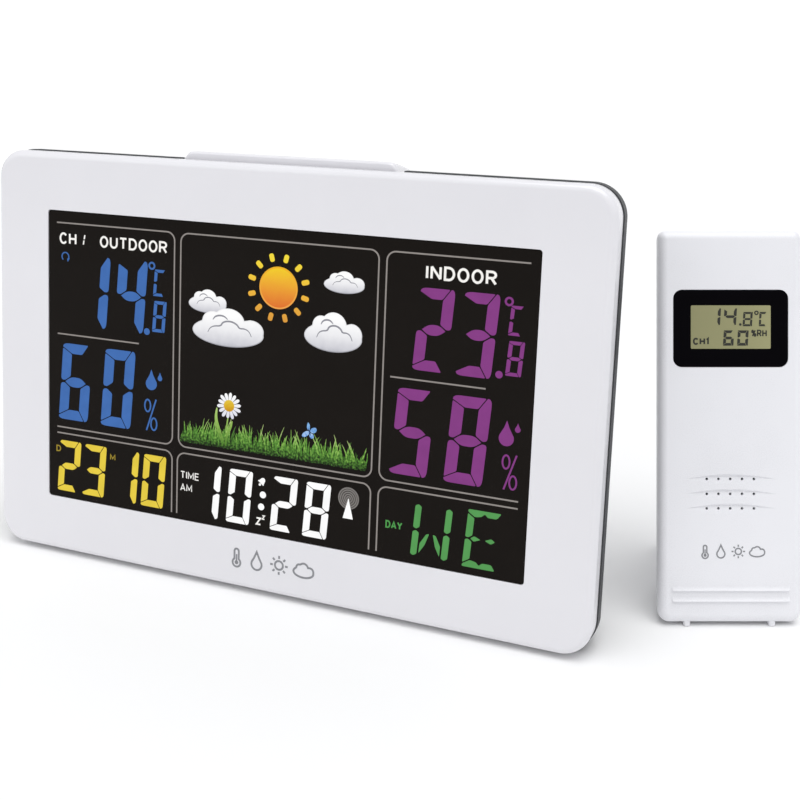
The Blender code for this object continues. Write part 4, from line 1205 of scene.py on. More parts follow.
class STATION_OT_rear_case(StationOperator, bpy.types.Operator):
    """Build the dark textured rear case with its openings, recesses, lugs and battery bay"""
    bl_idname = "station.rear_case"
    bl_label = "Rear case"

    def execute(self, context):
        use = context.scene.station_display
        corner, wall = use.case_corner / MM, 2.0
        slope, rim, proud = CASE_SLOPE, RIM_END, RIM_PROUD

        def ring(inset, y):
            return case_outline(inset, y, corner, 16)
        rings = [ring(0.15 - proud, SEAM_Y), ring(-proud, SEAM_Y + 0.15), ring(-proud, rim - 0.4),
                 ring(0.03 - proud, rim + 0.1), ring(0.16 - proud, rim + 0.7),
                 ring(slope * 1.6 - proud, rim + 1.6)]
        a, b = (slope * (25.2 - rim) - proud, 25.2), (slope * (REAR_Y - rim) - proud, REAR_Y)
        c = (7.6, REAR_Y)
        for k in range(8):
            t = k / 7
            rings.append(ring(*(a[i] * (1 - t) ** 2 + b[i] * 2 * t * (1 - t) + c[i] * t * t
                                for i in (0, 1))))
        hollow = loft([ring(2.2, SEAM_Y - 1), ring(2.2, rim), ring(6.9, REAR_Y - wall)])
        (bx0, bx1), (bz0, bz1), by = (-82.0, -34.0), (19.5, 54.5), 15.0
        bay_box = block(bx0 - 1.5, bx1 + 1.5, by - 1.5, 27.0, bz0 - 1.5, bz1 + 1.5)
        backing = block(-92.0, bx1 + 4, 24.4, 27.0, bz0 - 4, bz1 + 4)
        places = screw_places()
        tubes = [rod(3.0, 20.3, 27.0, x, z) for x, z in places]
        lug = arc(*LEG_AXLE, 2.8, 3.4, 58, -58, 10)
        lugs = [across([(27.5, 39.3)] + [(y, z) for y, z in reversed(lug)] + [(27.5, 48.7)],
                       [(x0, 0.35), (x0 + 0.35, 0.0), (x0 + 3.65, 0.0), (x0 + 4.0, 0.35)])
                for x0 in (-35.0, 31.0)]
        recess = prism(rounded_corners([(-110, bz0 - 2.3), (bx1 + 2.3, bz0 - 2.3),
                (bx1 + 2.3, bz1 + 2.3), (-110, bz1 + 2.3)],
                                       [0, 1.2, 1.2, 0]), REAR_Y - 1.8, 31)
        bay = block(bx0, bx1, by, 31, bz0, bz1)
        keys = []
        for k in (1, 2, 3, 4, 5):
            w, h, x, z = key_size(k)
            keys.append(slab(w + 0.7, h + 0.7, 2.9, 24, REAR_Y, x, z, 6, flare=0.35))
        openings = keys + [rod(4.4, 24, 31, JACK_X, JACK_Z, 32)]
        openings += [slab(16, 1.8, 0.85, 24, REAR_Y, 74, 60 + 4.5 * i, 5, flare=0.25)
                     for i in range(8)]
        openings += [slab(1.8, 12, 0.85, 24, REAR_Y, -69 + 4.5 * i, 80, 5, flare=0.25)
                     for i in range(5)]
        notch = block(-37.2, 37.2, SEAM_Y - 1.0, 21.0, CASE_H - 9, CASE_H + 4)
        steps = [("cut", [hollow]), ("add", [backing]), ("add", [bay_box]), ("add", tubes + lugs),
                 ("cut", [recess]), ("cut", [bay]),
                 ("cut", [rod(1.5, 19, 31, x, z, 16) for x, z in places]),
                 ("cut", [rod(2.9, 25.8, 31, x, z) for x, z in places]),
                 ("cut", [laid(rod(1.9, -40, 40, 0, 0, 20), (0, *LEG_AXLE))]),
                 ("cut", openings + [notch]),
                 ("cut", [rod(3.7, 26.8, 31, x, 102.0, 28) for x in (-66, 66)]),
                 ("cut", [slab(3.8, 9, 1.8, 26.8, 31, x, 106.0, 6) for x in (-66, 66)]),
                 ("cut", [band(outline(92, 9.6, 3.6, 0, 104.0, 6), 0.5, 27.75, 31, True)])]
        make_piece("rear_case_moulding", DISPLAY, "display_unit",
                   moulded_satin_abs("textured_dark_abs", use.case_colour, 0.55, 0.48, 0.45),
                   [loft(rings)], steps, replaces=("rear_case",), sharp=32)
        return {"FINISHED"}


def key_size(k):
    """Width, height, middle x and middle z of one rear key's cap."""
    (x0, x1), _, (z0, z1) = span(f"key_{k}", DISPLAY)
    return 9.0, 5.5, (x0 + x1) / 2, (z0 + z1) / 2


class STATION_OT_rear_keys(StationOperator, bpy.types.Operator):
    """Build the five pillowed rear keys and the plain symbols printed under them"""
    bl_idname = "station.rear_keys"
    bl_label = "Rear keys"

    def execute(self, context):
        use = context.scene.station_display
        finish = moulded_gloss_abs("gloss_white_key_abs", use.bezel_colour)
        for k in (1, 2, 3, 4, 5):
            w, h, x, z = key_size(k)

            def cap(inset, y):
                return outline(w - 2 * inset, h - 2 * inset, 2.6 - inset, x, z, 6), y
            rings = [cap(0, 25.4), cap(0, 28.1), cap(0.1, 28.4), cap(0.35, 28.65), cap(0.8, 28.8),
                     cap(1.5, 28.88), cap(2.3, 28.9)]
            make_piece(f"key_{k}_cap", DISPLAY, f"key_{k}", finish,
                       [loft(rings), slab(w + 2.4, h + 2.4, 1.0, 24.0, 25.6, x, z),
                        rod(1.8, 16.2, 24.4, x, z, 16)], replaces=(f"key_{k}",),
                       sharp=50)
        make_piece("key_symbols", DISPLAY, "display_unit",
                   printed_ink("pale_grey_ink", linear("#B9BBBE")), self.symbols(94.6))
        return {"FINISHED"}

    @staticmethod
    def symbols(z):
        """Clock, bell, up, down and a sun for the light, seen from the rear."""
        y0, y1 = REAR_Y - 0.02, REAR_Y + INK
        xs = [key_size(k)[2] for k in (1, 2, 3, 4, 5)]
        made = [band(oval(4.0, 4.0, xs[0], z, 28), 0.4, y0, y1, True),
                band([(xs[0], z + 1.2), (xs[0], z), (xs[0] - 1.0, z)], 0.4, y0, y1),
                prism([(xs[2] - 1.8, z - 1.3), (xs[2] + 1.8, z - 1.3), (xs[2], z + 1.6)], y0, y1),
                prism([(xs[3] - 1.8, z + 1.3), (xs[3], z - 1.6), (xs[3] + 1.8, z + 1.3)], y0, y1)]
        bell = [(-1.7, -1.2), (1.7, -1.2), (1.2, -0.6), (1.0, 0.7), (0.4, 1.5), (-0.4, 1.5),
                (-1.0, 0.7), (-1.2, -0.6)]
        made += [prism(moved(rounded_corners(bell, [0.3] * 8, 2), xs[1], z), y0, y1),
                 prism(oval(1.0, 0.8, xs[1], z - 1.7, 12), y0, y1),
                 band(oval(2.0, 2.0, xs[4], z, 20), 0.4, y0, y1, True)]
        return made + [band(spun([(1.6, 0), (2.4, 0)], xs[4], z, math.radians(45 * k)), 0.36, y0,
                            y1) for k in range(8)]


class STATION_OT_battery_door(StationOperator, bpy.types.Operator):
    """Build the sliding battery door with its thumb grips and arrow"""
    bl_idname = "station.battery_door"
    bl_label = "Battery door"

    def execute(self, context):
        use = context.scene.station_display
        (x0, x1), (y0, _), (z0, z1) = span("battery_door", DISPLAY)
        face = y0 + 1.4
        plate = slab(x1 - x0, z1 - z0, 1.0, y0, face, (x0 + x1) / 2, (z0 + z1) / 2, 5, edge=0.3)
        arrow = prism([(x0 + 17, 34.0), (x0 + 20.5, 32.0), (x0 + 20.5, 36.0)], face - 0.25,
                      face + 2)
        shaft = block(x0 + 20.0, x0 + 25.0, face - 0.25, face + 2, 33.2, 34.8)
        dish = slab(16, 18, 3.0, face - 0.35, face + 2, x0 + 8.6, 37, 6)
        ribs = [slab(1.4, 14, 0.6, face - 0.6, face + 0.55, x0 + 5.3 + 3 * i, 37, 5, edge=0.3)
                for i in range(4)]
        make_piece("battery_door_panel", DISPLAY, "battery_door",
                   moulded_satin_abs("textured_dark_door_abs", use.case_colour, 0.55, 0.48, 0.45),
                   [plate], [("cut", [dish]), ("cut", [arrow]), ("cut", [shaft]), ("add", ribs)],
                   replaces=("battery_door",))
        return {"FINISHED"}


def make_leg(name, base, body, finish, axle, swing, half, thick, axle_half, axle_r, rib):
    """A leg from its axle down to the ground: barrel, rounded flap, a framed hollow in its rear
    face and grip ribs near its foot. Its own frame has the axle at the origin."""
    lean, lift = stance(base)
    high = -axle[0] * math.sin(lean) + axle[1] * math.cos(lean) + lift
    t = thick / 2
    length = [(high + v * math.sin(swing)) / math.cos(swing) for v in (-t, t)]
    side = [(t * math.cos(a), t * math.sin(a)) for a in (math.pi * i / 10 for i in range(11))]
    side += [(-t, -length[0]), (t, -length[1])]
    flap = across(side, [(-half, 0.5), (-half + 0.15, 0.15), (-half + 0.5, 0.0),
                         (half - 0.5, 0.0), (half - 0.15, 0.15), (half, 0.5)])
    barrel = laid(rod(axle_r, -axle_half, axle_half, 0, 0, 24, edge=0.3), (0, 0, 0))
    low = min(length)
    hollow = prism(rounded_corners([(-half * 0.72, -low * 0.86), (half * 0.72, -low * 0.86),
                                    (half * 0.72, -low * 0.2), (-half * 0.72, -low * 0.2)],
                                   [2.5] * 4, 6), t - thick * 0.3, t + 2)
    ribs = [slab(half * 1.1, rib, rib * 0.45, t - thick * 0.32, t - 0.05, 0,
                 -low * 0.52 - i * rib * 2.4, 4, edge=rib * 0.3) for i in range(-2, 5)]
    place = (base @ Matrix.Translation(Vector((0, *axle)) * MM)
             @ Matrix.Rotation(swing + lean, 4, "X"))
    make_piece(name, place, body, finish, [flap],
               [("add", [barrel]), ("cut", [hollow]), ("add", ribs)], replaces=(body,))


class STATION_OT_stand(StationOperator, bpy.types.Operator):
    """Build the display's folding leg and its rubber feet"""
    bl_idname = "station.stand"
    bl_label = "Folding leg and feet"

    def execute(self, context):
        use = context.scene.station_display
        make_leg("folding_leg", DISPLAY, "stand",
                 moulded_satin_abs("textured_dark_leg_abs", use.case_colour, 0.55, 0.48, 0.45),
                 LEG_AXLE, math.radians(16.0), 30.0, 2.8, 34.4, 1.5, 1.4)
        lean, lift = stance(DISPLAY)
        rubber = nitrile_rubber("black_nitrile_rubber", linear("#1B1B1C"))
        for node in ("foot_left", "foot_right"):
            (x0, x1), (y0, y1), _ = span(node, DISPLAY)

            def ground(inset, up=0.0):
                edge = outline(x1 - x0 - 2 * inset, y1 - y0 - 2 * inset, 2.5 - inset,
                               (x0 + x1) / 2, (y0 + y1) / 2, 6)
                return [(x, y, (y * math.sin(lean) - lift) / math.cos(lean) + up)
                        for x, y in edge]
            raised = ground(0, 0.3)
            n = len(raised)
            verts = ground(0.35) + raised + [(x, y, CASE_SLOPE * (y - RIM_END) - 0.25)
                    for x, y, _ in raised]
            faces = [(k * n + i, k * n + (i + 1) % n, (k + 1) * n + (i + 1) % n, (k + 1) * n + i)
                     for k in (0, 1) for i in range(n)]
            faces += [tuple(reversed(range(n))), tuple(range(2 * n, 3 * n))]
            make_piece(f"{node}_pad", DISPLAY, "display_unit", rubber, [(verts, faces)],
                       replaces=(node,))
        return {"FINISHED"}


def cross_head(x, z, y_tip, y_seat, y_top, shank, head):
    """Pan-head screw along y with a cross recess; returns its shapes and its cuts."""
    profile = [(0, y_tip), (shank * 0.6, y_tip), (shank, y_tip + 1.2), (shank, y_seat),
               (head, y_seat), (head, y_seat + 0.5), (head * 0.92, y_top - 0.45),
               (head * 0.72, y_top - 0.12), (0, y_top)]
    arm = head * 0.52
    bars = [slab(2 * arm, 0.55, 0.2, y_top - 0.9, y_top + 1, x, z, 3),
            slab(0.55, 2 * arm, 0.2, y_top - 0.9, y_top + 1, x, z, 3)]
    return [turned(profile, x, z, 28)], [("cut", bars[:1]), ("cut", bars[1:])]


class STATION_OT_fixings(StationOperator, bpy.types.Operator):
    """Build the four case screws and the power socket"""
    bl_idname = "station.fixings"
    bl_label = "Screws and socket"

    def execute(self, context):
        steel = rolled_metal("zinc_plated_steel", linear("#B9B7B0"), 0.3)
        for k, (x, z) in enumerate(screw_places(), 1):
            shapes, cuts = cross_head(x, z, 8.5, 26.2, 27.9, 1.2, 2.6)
            make_piece(f"case_screw_{k}_steel", DISPLAY, "display_unit", steel, shapes, cuts,
                       replaces=(f"case_screw_{k}",))
        make_piece("power_socket_body", DISPLAY, "display_unit",
                   moulded_satin_abs("black_nylon_socket", linear("#141415"), 0.4, 0.5, 0.2),
                   [block(70.5, 79.5, 12.1, 25.7, 26, 36)],
                   [("add", [rod(4.0, 22, REAR_Y - 0.2, JACK_X, JACK_Z, 32, edge=0.3)]),
                    ("cut", [rod(2.8, 18.0, 31.0, JACK_X, JACK_Z, 28)])],
                   replaces=("power_jack",))
        pin = turned([(0, 17.5), (0.95, 17.5), (0.95, 26.5), (0.7, 26.9), (0, 27.0)],
                     JACK_X, JACK_Z, 20)
        make_piece("power_socket_pin", DISPLAY, "display_unit",
                   rolled_metal("nickel_plated_brass", linear("#C8C2B4"), 0.22, "Y"), [pin])
        return {"FINISHED"}


def cell_pieces(name, node, place, body, along):
    """One AAA cell: a printed sleeve over a steel can, with its shoulder, end and button. The
    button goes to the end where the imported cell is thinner."""
    spans = span(node, place)
    mid = [(a + b) / 2 for a, b in spans]
    r, length = 5.15, 43.6
    turn = {"X": Matrix.Rotation(math.radians(-90), 4, "Z"),
            "Z": Matrix.Rotation(math.radians(90), 4, "X")}
    index = "XYZ".index(along)
    long = spans[index]
    points = [place.inverted() @ v.co for v in frame["nodes"][node].data.vertices]
    thin = {end: max(math.hypot(*[p[i] / MM - mid[i] for i in (0, 1, 2) if i != index])
                     for p in points if abs(p[index] / MM - end) < 0.05) for end in long}
    button = min(thin, key=thin.get)
    way = 1 if button == long[1] else -1
    base = long[0] if way > 0 else long[1]
    start = list(mid)
    start[index] = base
    here = place @ Matrix.Translation(Vector(start) * MM) @ turn[along]
    if way < 0:
        here = here @ Matrix.Rotation(math.pi, 4, {"X": "Z", "Z": "X"}[along])
    can = turned([(0, 0.1), (3.6, 0.1), (3.9, 0.0), (4.5, 0.05), (4.95, 0.5), (4.95, length - 0.7),
                  (4.4, length - 0.15), (2.4, length - 0.1), (2.2, length - 0.3),
                  (1.9, length - 0.1), (1.9, length + 0.75), (1.6, length + 0.9),
                  (0, length + 0.9)], 0, 0, 32)
    make_piece(f"{name}_can", here, body,
               rolled_metal(f"{name}_nickel_steel", linear("#BEBBB2"), 0.25, "Y"), [can],
               replaces=(node,))
    sleeve = [(r - 0.25, 0.35), (r, 0.6), (r, length - 1.0), (r - 0.3, length - 0.65),
              (4.9, length - 0.8), (4.9, 0.7)]
    rings = [(oval(2 * a, 2 * a, 0, 0, 32), y) for a, y in sleeve]
    finish, tree, shader, spot = start_finish(f"{name}_printed_sleeve", Roughness=0.28,
            Coat_Weight=0.3)
    # Shrunk PVC sleeve: smooth and shiny, with a dark body and a pale band at the button end.
    height = add_node(tree, "ShaderNodeSeparateXYZ", {"Vector": spot}).outputs["Y"]
    share = add_node(tree, "ShaderNodeMapRange", {"Value": height, "From Max": length * MM})
    dark, pale = linear("#23402F"), linear("#C9CCC4")
    tone(tree, shader, share.outputs["Result"],
         shades(dark, (0.0, 0.9), (0.7, 1.1)) + shades(pale, (0.705, 1.0), (0.73, 1.0))
         + shades(dark, (0.735, 0.6), (1.0, 0.6)))
    make_piece(f"{name}_sleeve", here, body, finish, [loft(rings, looped=True)])


class STATION_OT_cells(StationOperator, bpy.types.Operator):
    """Build the five AAA cells: three in the display's bay and two in the sensor's"""
    bl_idname = "station.cells"
    bl_label = "Cells"

    def execute(self, context):
        for k in (1, 2, 3):
            cell_pieces(f"display_cell_{k}", f"battery_{k}", DISPLAY, "display_unit", "X")
        for k in (1, 2):
            cell_pieces(f"sensor_cell_{k}", f"sensor_battery_{k}", SENSOR, "outdoor_sensor", "Z")
        return {"FINISHED"}


# ---------------------------------------------------------------- outdoor sensor
def shell_outline(inset, y, low, high, steps=10):
    """The sensor's outline at depth y: towards the rear its sides draw in and its underside
    rises."""
    deep = max(0.0, y - 3.0)
    rise, w = deep * SEN_HEEL, SEN_W - 2 * deep * SEN_DRAFT
    h = SEN_H - rise
    return outline(w - 2 * inset, h - 2 * inset, (max(low - inset, 0.3), max(high - inset, 0.3)),
                   0, (SEN_H + rise) / 2, steps), y


def brow(z, half=13.2, depth=0.6, steps=28):
    """Cutter for a shallow brow over a row of air holes: a short steep lip above, a long soft
    slope below, both fading out at the ends."""
    verts, faces = [], []
    for i in range(steps + 1):
        x = half * (2 * i / steps - 1)
        k = max(1 - (x / half) ** 2, 0.05)
        peak, foot, d = z + 1.45 * k, z - 2.1 * k, depth * k
        run = (peak - 0.5 * k - foot) / d
        verts += [(x, -0.6, peak + 0.6 * 0.9), (x, d, peak - 0.5 * k), (x, -0.6, foot - 0.6 * run)]
    for i in range(steps):
        for j in range(3):
            a, b = 3 * i + j, 3 * i + (j + 1) % 3
            faces.append((a, b, b + 3, a + 3))
    return verts, faces + [(0, 2, 1), (3 * steps, 3 * steps + 1, 3 * steps + 2)]


class STATION_OT_sensor_front(StationOperator, bpy.types.Operator):
    """Build the sensor's satin white front shell with its air holes, ribs and pegs"""
    bl_idname = "station.sensor_front"
    bl_label = "Sensor front"

    def execute(self, context):
        use = context.scene.station_sensor
        low, high, hole = use.lower_corner / MM, use.upper_corner / MM, use.hole / MM
        rings = []
        for k in range(8):
            a = math.pi / 2 * (7 - k) / 7
            rings.append(shell_outline(2.5 * (1 - math.cos(a)), 2.2 * (1 - math.sin(a)), low, high))
        rings += [shell_outline(0, 3.0, low, high), shell_outline(0, 9.4, low, high),
                  shell_outline(0.15, 9.7, low, high)]
        hollow = loft([shell_outline(1.8, 1.8, low, high), shell_outline(1.8, 3.0, low, high),
                       shell_outline(1.8, 11, low, high)])
        lean, lift = stance(SENSOR)
        foot = [(y, (y * math.sin(lean) - lift) / math.cos(lean) + up) for y, up in (
            (0.9, 0.5), (1.1, 0.12), (1.6, 0.0), (3.2, 0.0), (3.7, 0.12), (3.9, 0.5))]
        foot = [(0.9, 1.2)] + foot + [(3.9, 1.8)]
        pegs = [across(foot, [(x - 0.95, 0.5), (x - 0.85, 0.2), (x - 0.6, 0.0), (x + 0.6, 0.0),
                              (x + 0.85, 0.2), (x + 0.95, 0.5)]) for x in (-12.3, 12.3)]
        ribs = [across([(0.4, z + 1.2), (0.05, z + 1.0), (-0.5, z - 0.25), (-0.6, z - 0.45),
                        (-0.55, z - 0.62), (0.4, z - 0.75)],
                       [(-16.9, 0.3), (-16.5, 0.0), (16.5, 0.0), (16.9, 0.3)]) for z in (10.0, 6.9)]
        rows, across_x = (41.5, 37.2, 33.0), (-6.8, -3.4, 0.0, 3.4, 6.8)
        holes = [rod(hole / 2, -1, 3, x, z, 16) for z in rows for x in across_x]
        w, h = SEN_WINDOW_W, SEN_WINDOW_H
        seat = slab(w + 0.2, h + 0.2, 2.6, -1, 1.2, 0, SEN_WINDOW_Z, 8)
        view = slab(27, 16, 1.0, -1, 3, 0, SEN_WINDOW_Z + 0.4, 5)
        make_piece("sensor_front_moulding", SENSOR, "outdoor_sensor",
                   moulded_satin_abs("satin_white_abs", use.shell_colour, 0.35, 0.38, 0.16),
                   [loft(rings)], [("cut", [hollow]), ("cut", [seat]), ("cut", [view]),
                                   ("cut", [brow(z) for z in rows]), ("cut", holes),
                                   ("add", ribs), ("add", pegs)],
                   replaces=("sensor_front_shell",), sharp=34)
        return {"FINISHED"}


class STATION_OT_sensor_window(StationOperator, bpy.types.Operator):
    """Build the sensor's black-edged window, its olive display and its dark figures"""
    bl_idname = "station.sensor_window"
    bl_label = "Sensor window"

    def execute(self, context):
        use = context.scene.station_sensor
        y, cz = SEN_WINDOW_Y, SEN_WINDOW_Z + 0.4
        make_piece("sensor_window_plate", SENSOR, "outdoor_sensor",
                   smoked_acrylic("black_edged_acrylic", use.window_colour, 0.12, 0.04),
                   [slab(SEN_WINDOW_W, SEN_WINDOW_H, 2.5, y, y + 0.85, 0, SEN_WINDOW_Z,
                         edge=0.2)],
                   replaces=("sensor_window",))
        # Twisted-nematic cell over a reflector: a soft olive that pales a little to one side. That
        # paling is a painted sheen, painted lighter towards the right as if light came off the
        # reflector there.
        finish, tree, shader, place = start_finish("olive_display_cell_painted_sheen", Roughness=0.35,
                Specular_IOR_Level=0.25)
        parts = add_node(tree, "ShaderNodeSeparateXYZ", {"Vector": place})
        share = add_node(tree, "ShaderNodeMapRange", {"Value": parts.outputs["X"],
                "From Min": -0.0115, "From Max": 0.0115})
        # Painted sheen: the ground grows lighter from left to right across the cell.
        tone(tree, shader, share.outputs["Result"],
             shades(use.glass_colour, (0.0, 0.93), (0.6, 1.0), (1.0, 1.1)))
        make_piece("sensor_display_ground", SENSOR, "outdoor_sensor", finish,
                   [slab(23.0, 12.5, 0.35, y - 0.05, y + 0.3, 0, cz, 3)])
        lean, top = 0.06, y - 0.05

        def put(char, x, z, w, h, side=0.92, bar=0.88):
            return figure(char, x, cz + z, w, h, side, bar, top, lean, 0.1, 0.2, INK)
        shapes = (put("1", -6.55, 0.55, 3.5, 4.9) + put("4", -2.15, 0.55, 3.7, 4.9)
                  + put("8", 3.35, 0.2, 2.8, 4.2, 0.72, 0.68)
                  + put("C", 8.0, 0.2, 2.4, 4.2, 0.72, 0.68)
                  + put("6", -2.3, -5.4, 3.1, 4.5) + put("0", 1.75, -5.4, 3.2, 4.5))
        shapes += [prism(oval(0.75, 0.75, 2.75, cz + 0.75, 16), top - INK, top),
                   band(oval(0.95, 0.95, 7.4, cz + 4.1, 16), 0.36, top - INK, top, True),
                   lettering("%RH", 5.9, 10.4, cz - 2.8, cz - 0.75, top, 0.19, INK),
                   lettering("CH1", -10.9, -6.3, cz - 5.15, cz - 3.05, top, 0.23, INK)]
        make_piece("sensor_display_figures", SENSOR, "outdoor_sensor",
                   printed_ink("dark_liquid_crystal", use.segment_colour), shapes)
        return {"FINISHED"}


SEN_KEYS = {"sensor_key_send": -8.0, "sensor_key_unit": 8.0}    # middle x of each key


class STATION_OT_sensor_rear(StationOperator, bpy.types.Operator):
    """Build the sensor's rear shell with its battery bay, lugs, switch slot and hanging hole"""
    bl_idname = "station.sensor_rear"
    bl_label = "Sensor rear"

    def execute(self, context):
        use = context.scene.station_sensor
        low, high = use.lower_corner / MM, use.upper_corner / MM

        def ring(inset, y):
            return shell_outline(inset, y, low, high)
        rings = [ring(0.15, SEN_SEAM), ring(0, SEN_SEAM + 0.2), ring(0, 14.0)]
        for k in range(8):
            a = math.pi / 2 * k / 7
            rings.append(ring(2.0 * (1 - math.cos(a)), SEN_DEEP - 2.0 * (1 - math.sin(a))))
        hollow = loft([ring(1.8, SEN_SEAM - 1), ring(1.8, 18.2)])
        za, zb = 8.5, 55.5
        lug = arc(*SEN_LEG_AXLE, 2.6, 3.4, 58, -58, 10)
        lugs = [across([(19.4, 58.4)] + [(a, b) for a, b in reversed(lug)] + [(19.4, 67.6)],
                       [(x0, 0.3), (x0 + 0.3, 0.0), (x0 + 2.5, 0.0), (x0 + 2.8, 0.3)])
                for x0 in (-13.0, 10.2)]
        steps = [("cut", [hollow]), ("add", [block(-15.5, 15.5, 16.8, 18.6, 5.4, 60.5)]),
                 ("add", [block(-13.8, 13.8, 6.3, 18.6, za - 1.5, zb + 1.5)]), ("add", lugs),
                 ("cut", [block(-14.0, 14.0, 18.3, 23, -2, 59.0)]),
                 ("cut", [block(-12.3, 12.3, 7.5, 23, za, zb)]),
                 ("cut", [laid(rod(1.6, -14, 14, 0, 0, 20), (0, *SEN_LEG_AXLE)),
                          slab(12, 4.0, 0.6, 17, SEN_DEEP, 0, 80, 4, flare=0.25)]
                  + [rod(2.5, 17, 22, x, 92, 28) for x in SEN_KEYS.values()]),
                 ("cut", [rod(2.6, 18.9, 22, 0, 101.0, 28)]),
                 ("cut", [slab(2.8, 7, 1.3, 18.9, 22, 0, 104.0, 5)])]
        satin = moulded_satin_abs("satin_white_rear_abs", use.shell_colour, 0.35, 0.42, 0.25)
        make_piece("sensor_rear_moulding", SENSOR, "outdoor_sensor", satin, [loft(rings)], steps,
                   replaces=("sensor_rear_shell",), sharp=34)
        numerals = [lettering(n, x - 0.55, x + 0.55, 83.4, 85.4, SEN_DEEP, 0.15, rear=True)
                    for n, x in (("1", -3.2), ("2", 0.0), ("3", 3.2))]
        y0, y1 = SEN_DEEP - 0.02, SEN_DEEP + INK
        wave = [band(arc(-8.0, 96.0, r, r, 45, 135, 8), 0.3, y0, y1) for r in (0.9, 1.6, 2.3)]
        degree = [band(oval(1.1, 1.1, 9.0, 97.2, 14), 0.3, y0, y1, True),
                  band(arc(7.4, 96.6, 1.0, 1.1, -130, 130, 12), 0.32, y0, y1)]
        make_piece("sensor_rear_numerals", SENSOR, "outdoor_sensor",
                   printed_ink("mid_grey_ink", linear("#7C7D80")), numerals + wave + degree)
        return {"FINISHED"}


class STATION_OT_sensor_fittings(StationOperator, bpy.types.Operator):
    """Build the sensor's battery door, folding leg, channel switch and two keys"""
    bl_idname = "station.sensor_fittings"
    bl_label = "Sensor fittings"

    def execute(self, context):
        use = context.scene.station_sensor
        satin = moulded_satin_abs("satin_white_door_abs", use.shell_colour, 0.35, 0.42, 0.25)
        (x0, x1), (y0, _), (z0, z1) = span("sensor_door", SENSOR)
        face = y0 + 1.3
        plate = slab(x1 - x0, z1 - z0, 0.8, y0, face, 0, (z0 + z1) / 2, 5, edge=0.25)
        dish = slab(15, 10.6, 2.5, face - 0.3, face + 2, 0, 14.1, 6)
        arrow = prism([(-2.2, 24.5), (0, 21.8), (2.2, 24.5)], face - 0.25, face + 2)
        ribs = [slab(12, 1.0, 0.45, face - 0.5, face + 0.5, 0, 10.5 + 2.4 * i, 4, edge=0.25)
                for i in range(4)]
        make_piece("sensor_door_panel", SENSOR, "sensor_door", satin, [plate],
                   [("cut", [dish]), ("cut", [arrow]), ("add", ribs)], replaces=("sensor_door",))
        make_leg("sensor_folding_leg", SENSOR, "sensor_stand",
                 moulded_satin_abs("satin_white_leg_abs", use.shell_colour, 0.35, 0.42, 0.25),
                 SEN_LEG_AXLE, math.radians(14.0), 9.6, 2.4, 12.6, 1.2, 1.1)
        black = moulded_satin_abs("black_nylon_slider", linear("#18181A"), 0.4, 0.5, 0.2)
        knob = [slab(4.0, 3.3, 0.4, 17.4, 20.6, -3.2, 80, 5, edge=0.25),
                slab(9.5, 6.4, 0.4, 15.4, 17.8, -3.2, 80)]
        grooves = [block(-3.35 + 1.1 * i, -3.05 + 1.1 * i, 20.3, 22, 77, 83) for i in (-1, 0, 1)]
        make_piece("channel_slider", SENSOR, "channel_switch", black, knob[:1],
                   [("cut", grooves), ("add", knob[1:])], replaces=("channel_switch",))
        grey = moulded_satin_abs("grey_abs_key", linear("#4A4C50"), 0.4, 0.45, 0.2)
        for name, x in SEN_KEYS.items():
            cap = turned([(0, 15.4), (3.2, 15.4), (3.2, 17.6), (2.1, 17.6), (2.1, 19.9),
                          (1.95, 20.15), (1.5, 20.28), (0, 20.3)], x, 92, 28)
            make_piece(f"{name}_cap", SENSOR, name, grey, [cap], replaces=(name,),
                       sharp=50)
        return {"FINISHED"}


class STATION_OT_inner_parts(StationOperator, bpy.types.Operator):
    """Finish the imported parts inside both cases: boards, chips, guides, contacts and aerials"""
    bl_idname = "station.inner_parts"
    bl_label = "Inner parts"

    def execute(self, context):
        refinish(smoked_acrylic("dark_polariser_glass", linear("#14161C"), 0.08, 0.5), "lcd_glass")
        refinish(smoked_acrylic("olive_polariser_glass", linear("#7F7D5C"), 0.1, 0.5), "sensor_lcd")
        refinish(milky_sheet("opal_polycarbonate", linear("#E6E6E0")), "lcd_carrier", "light_guide",
                 "indoor_sensor", "sensor_probe")
        refinish(banded_print("layered_silicone_strip", linear("#D98FA0"), linear("#1C1A1A"), 0.9,
                              "X", 0.6), "elastomer_strip_1", "elastomer_strip_2")
        refinish(glass_fibre_board("green_glass_fibre_board", linear("#12502B"), linear("#2E7A45")),
                 "main_board", "sensor_board")
        refinish(moulded_satin_abs("black_epoxy_moulding", linear("#17171A"), 0.3, 0.5, 0.2),
                 "control_chip", "snooze_switch", "buzzer",
                 *(f"key_switch_{k}" for k in range(1, 6)))
        refinish(rolled_metal("tinned_steel_can", linear("#C4C4C0"), 0.32), "radio_module")
        refinish(cut_ferrite("sintered_ferrite", linear("#2E2D2F")), "antenna_rod")
        refinish(banded_print("enamelled_copper_wire", linear("#B4632D"), linear("#6E3516"), 0.5,
                              "X", 0.3), "antenna_coil")
        refinish(rolled_metal("drawn_copper_wire", linear("#C07A48"), 0.3, "Z"), "sensor_antenna")
        refinish(rolled_metal("nickel_plated_strip", linear("#C6C2B6"), 0.26, "Z"),
                 "battery_contact_1", "battery_contact_2", "sensor_contact_1", "sensor_contact_2")
        return {"FINISHED"}


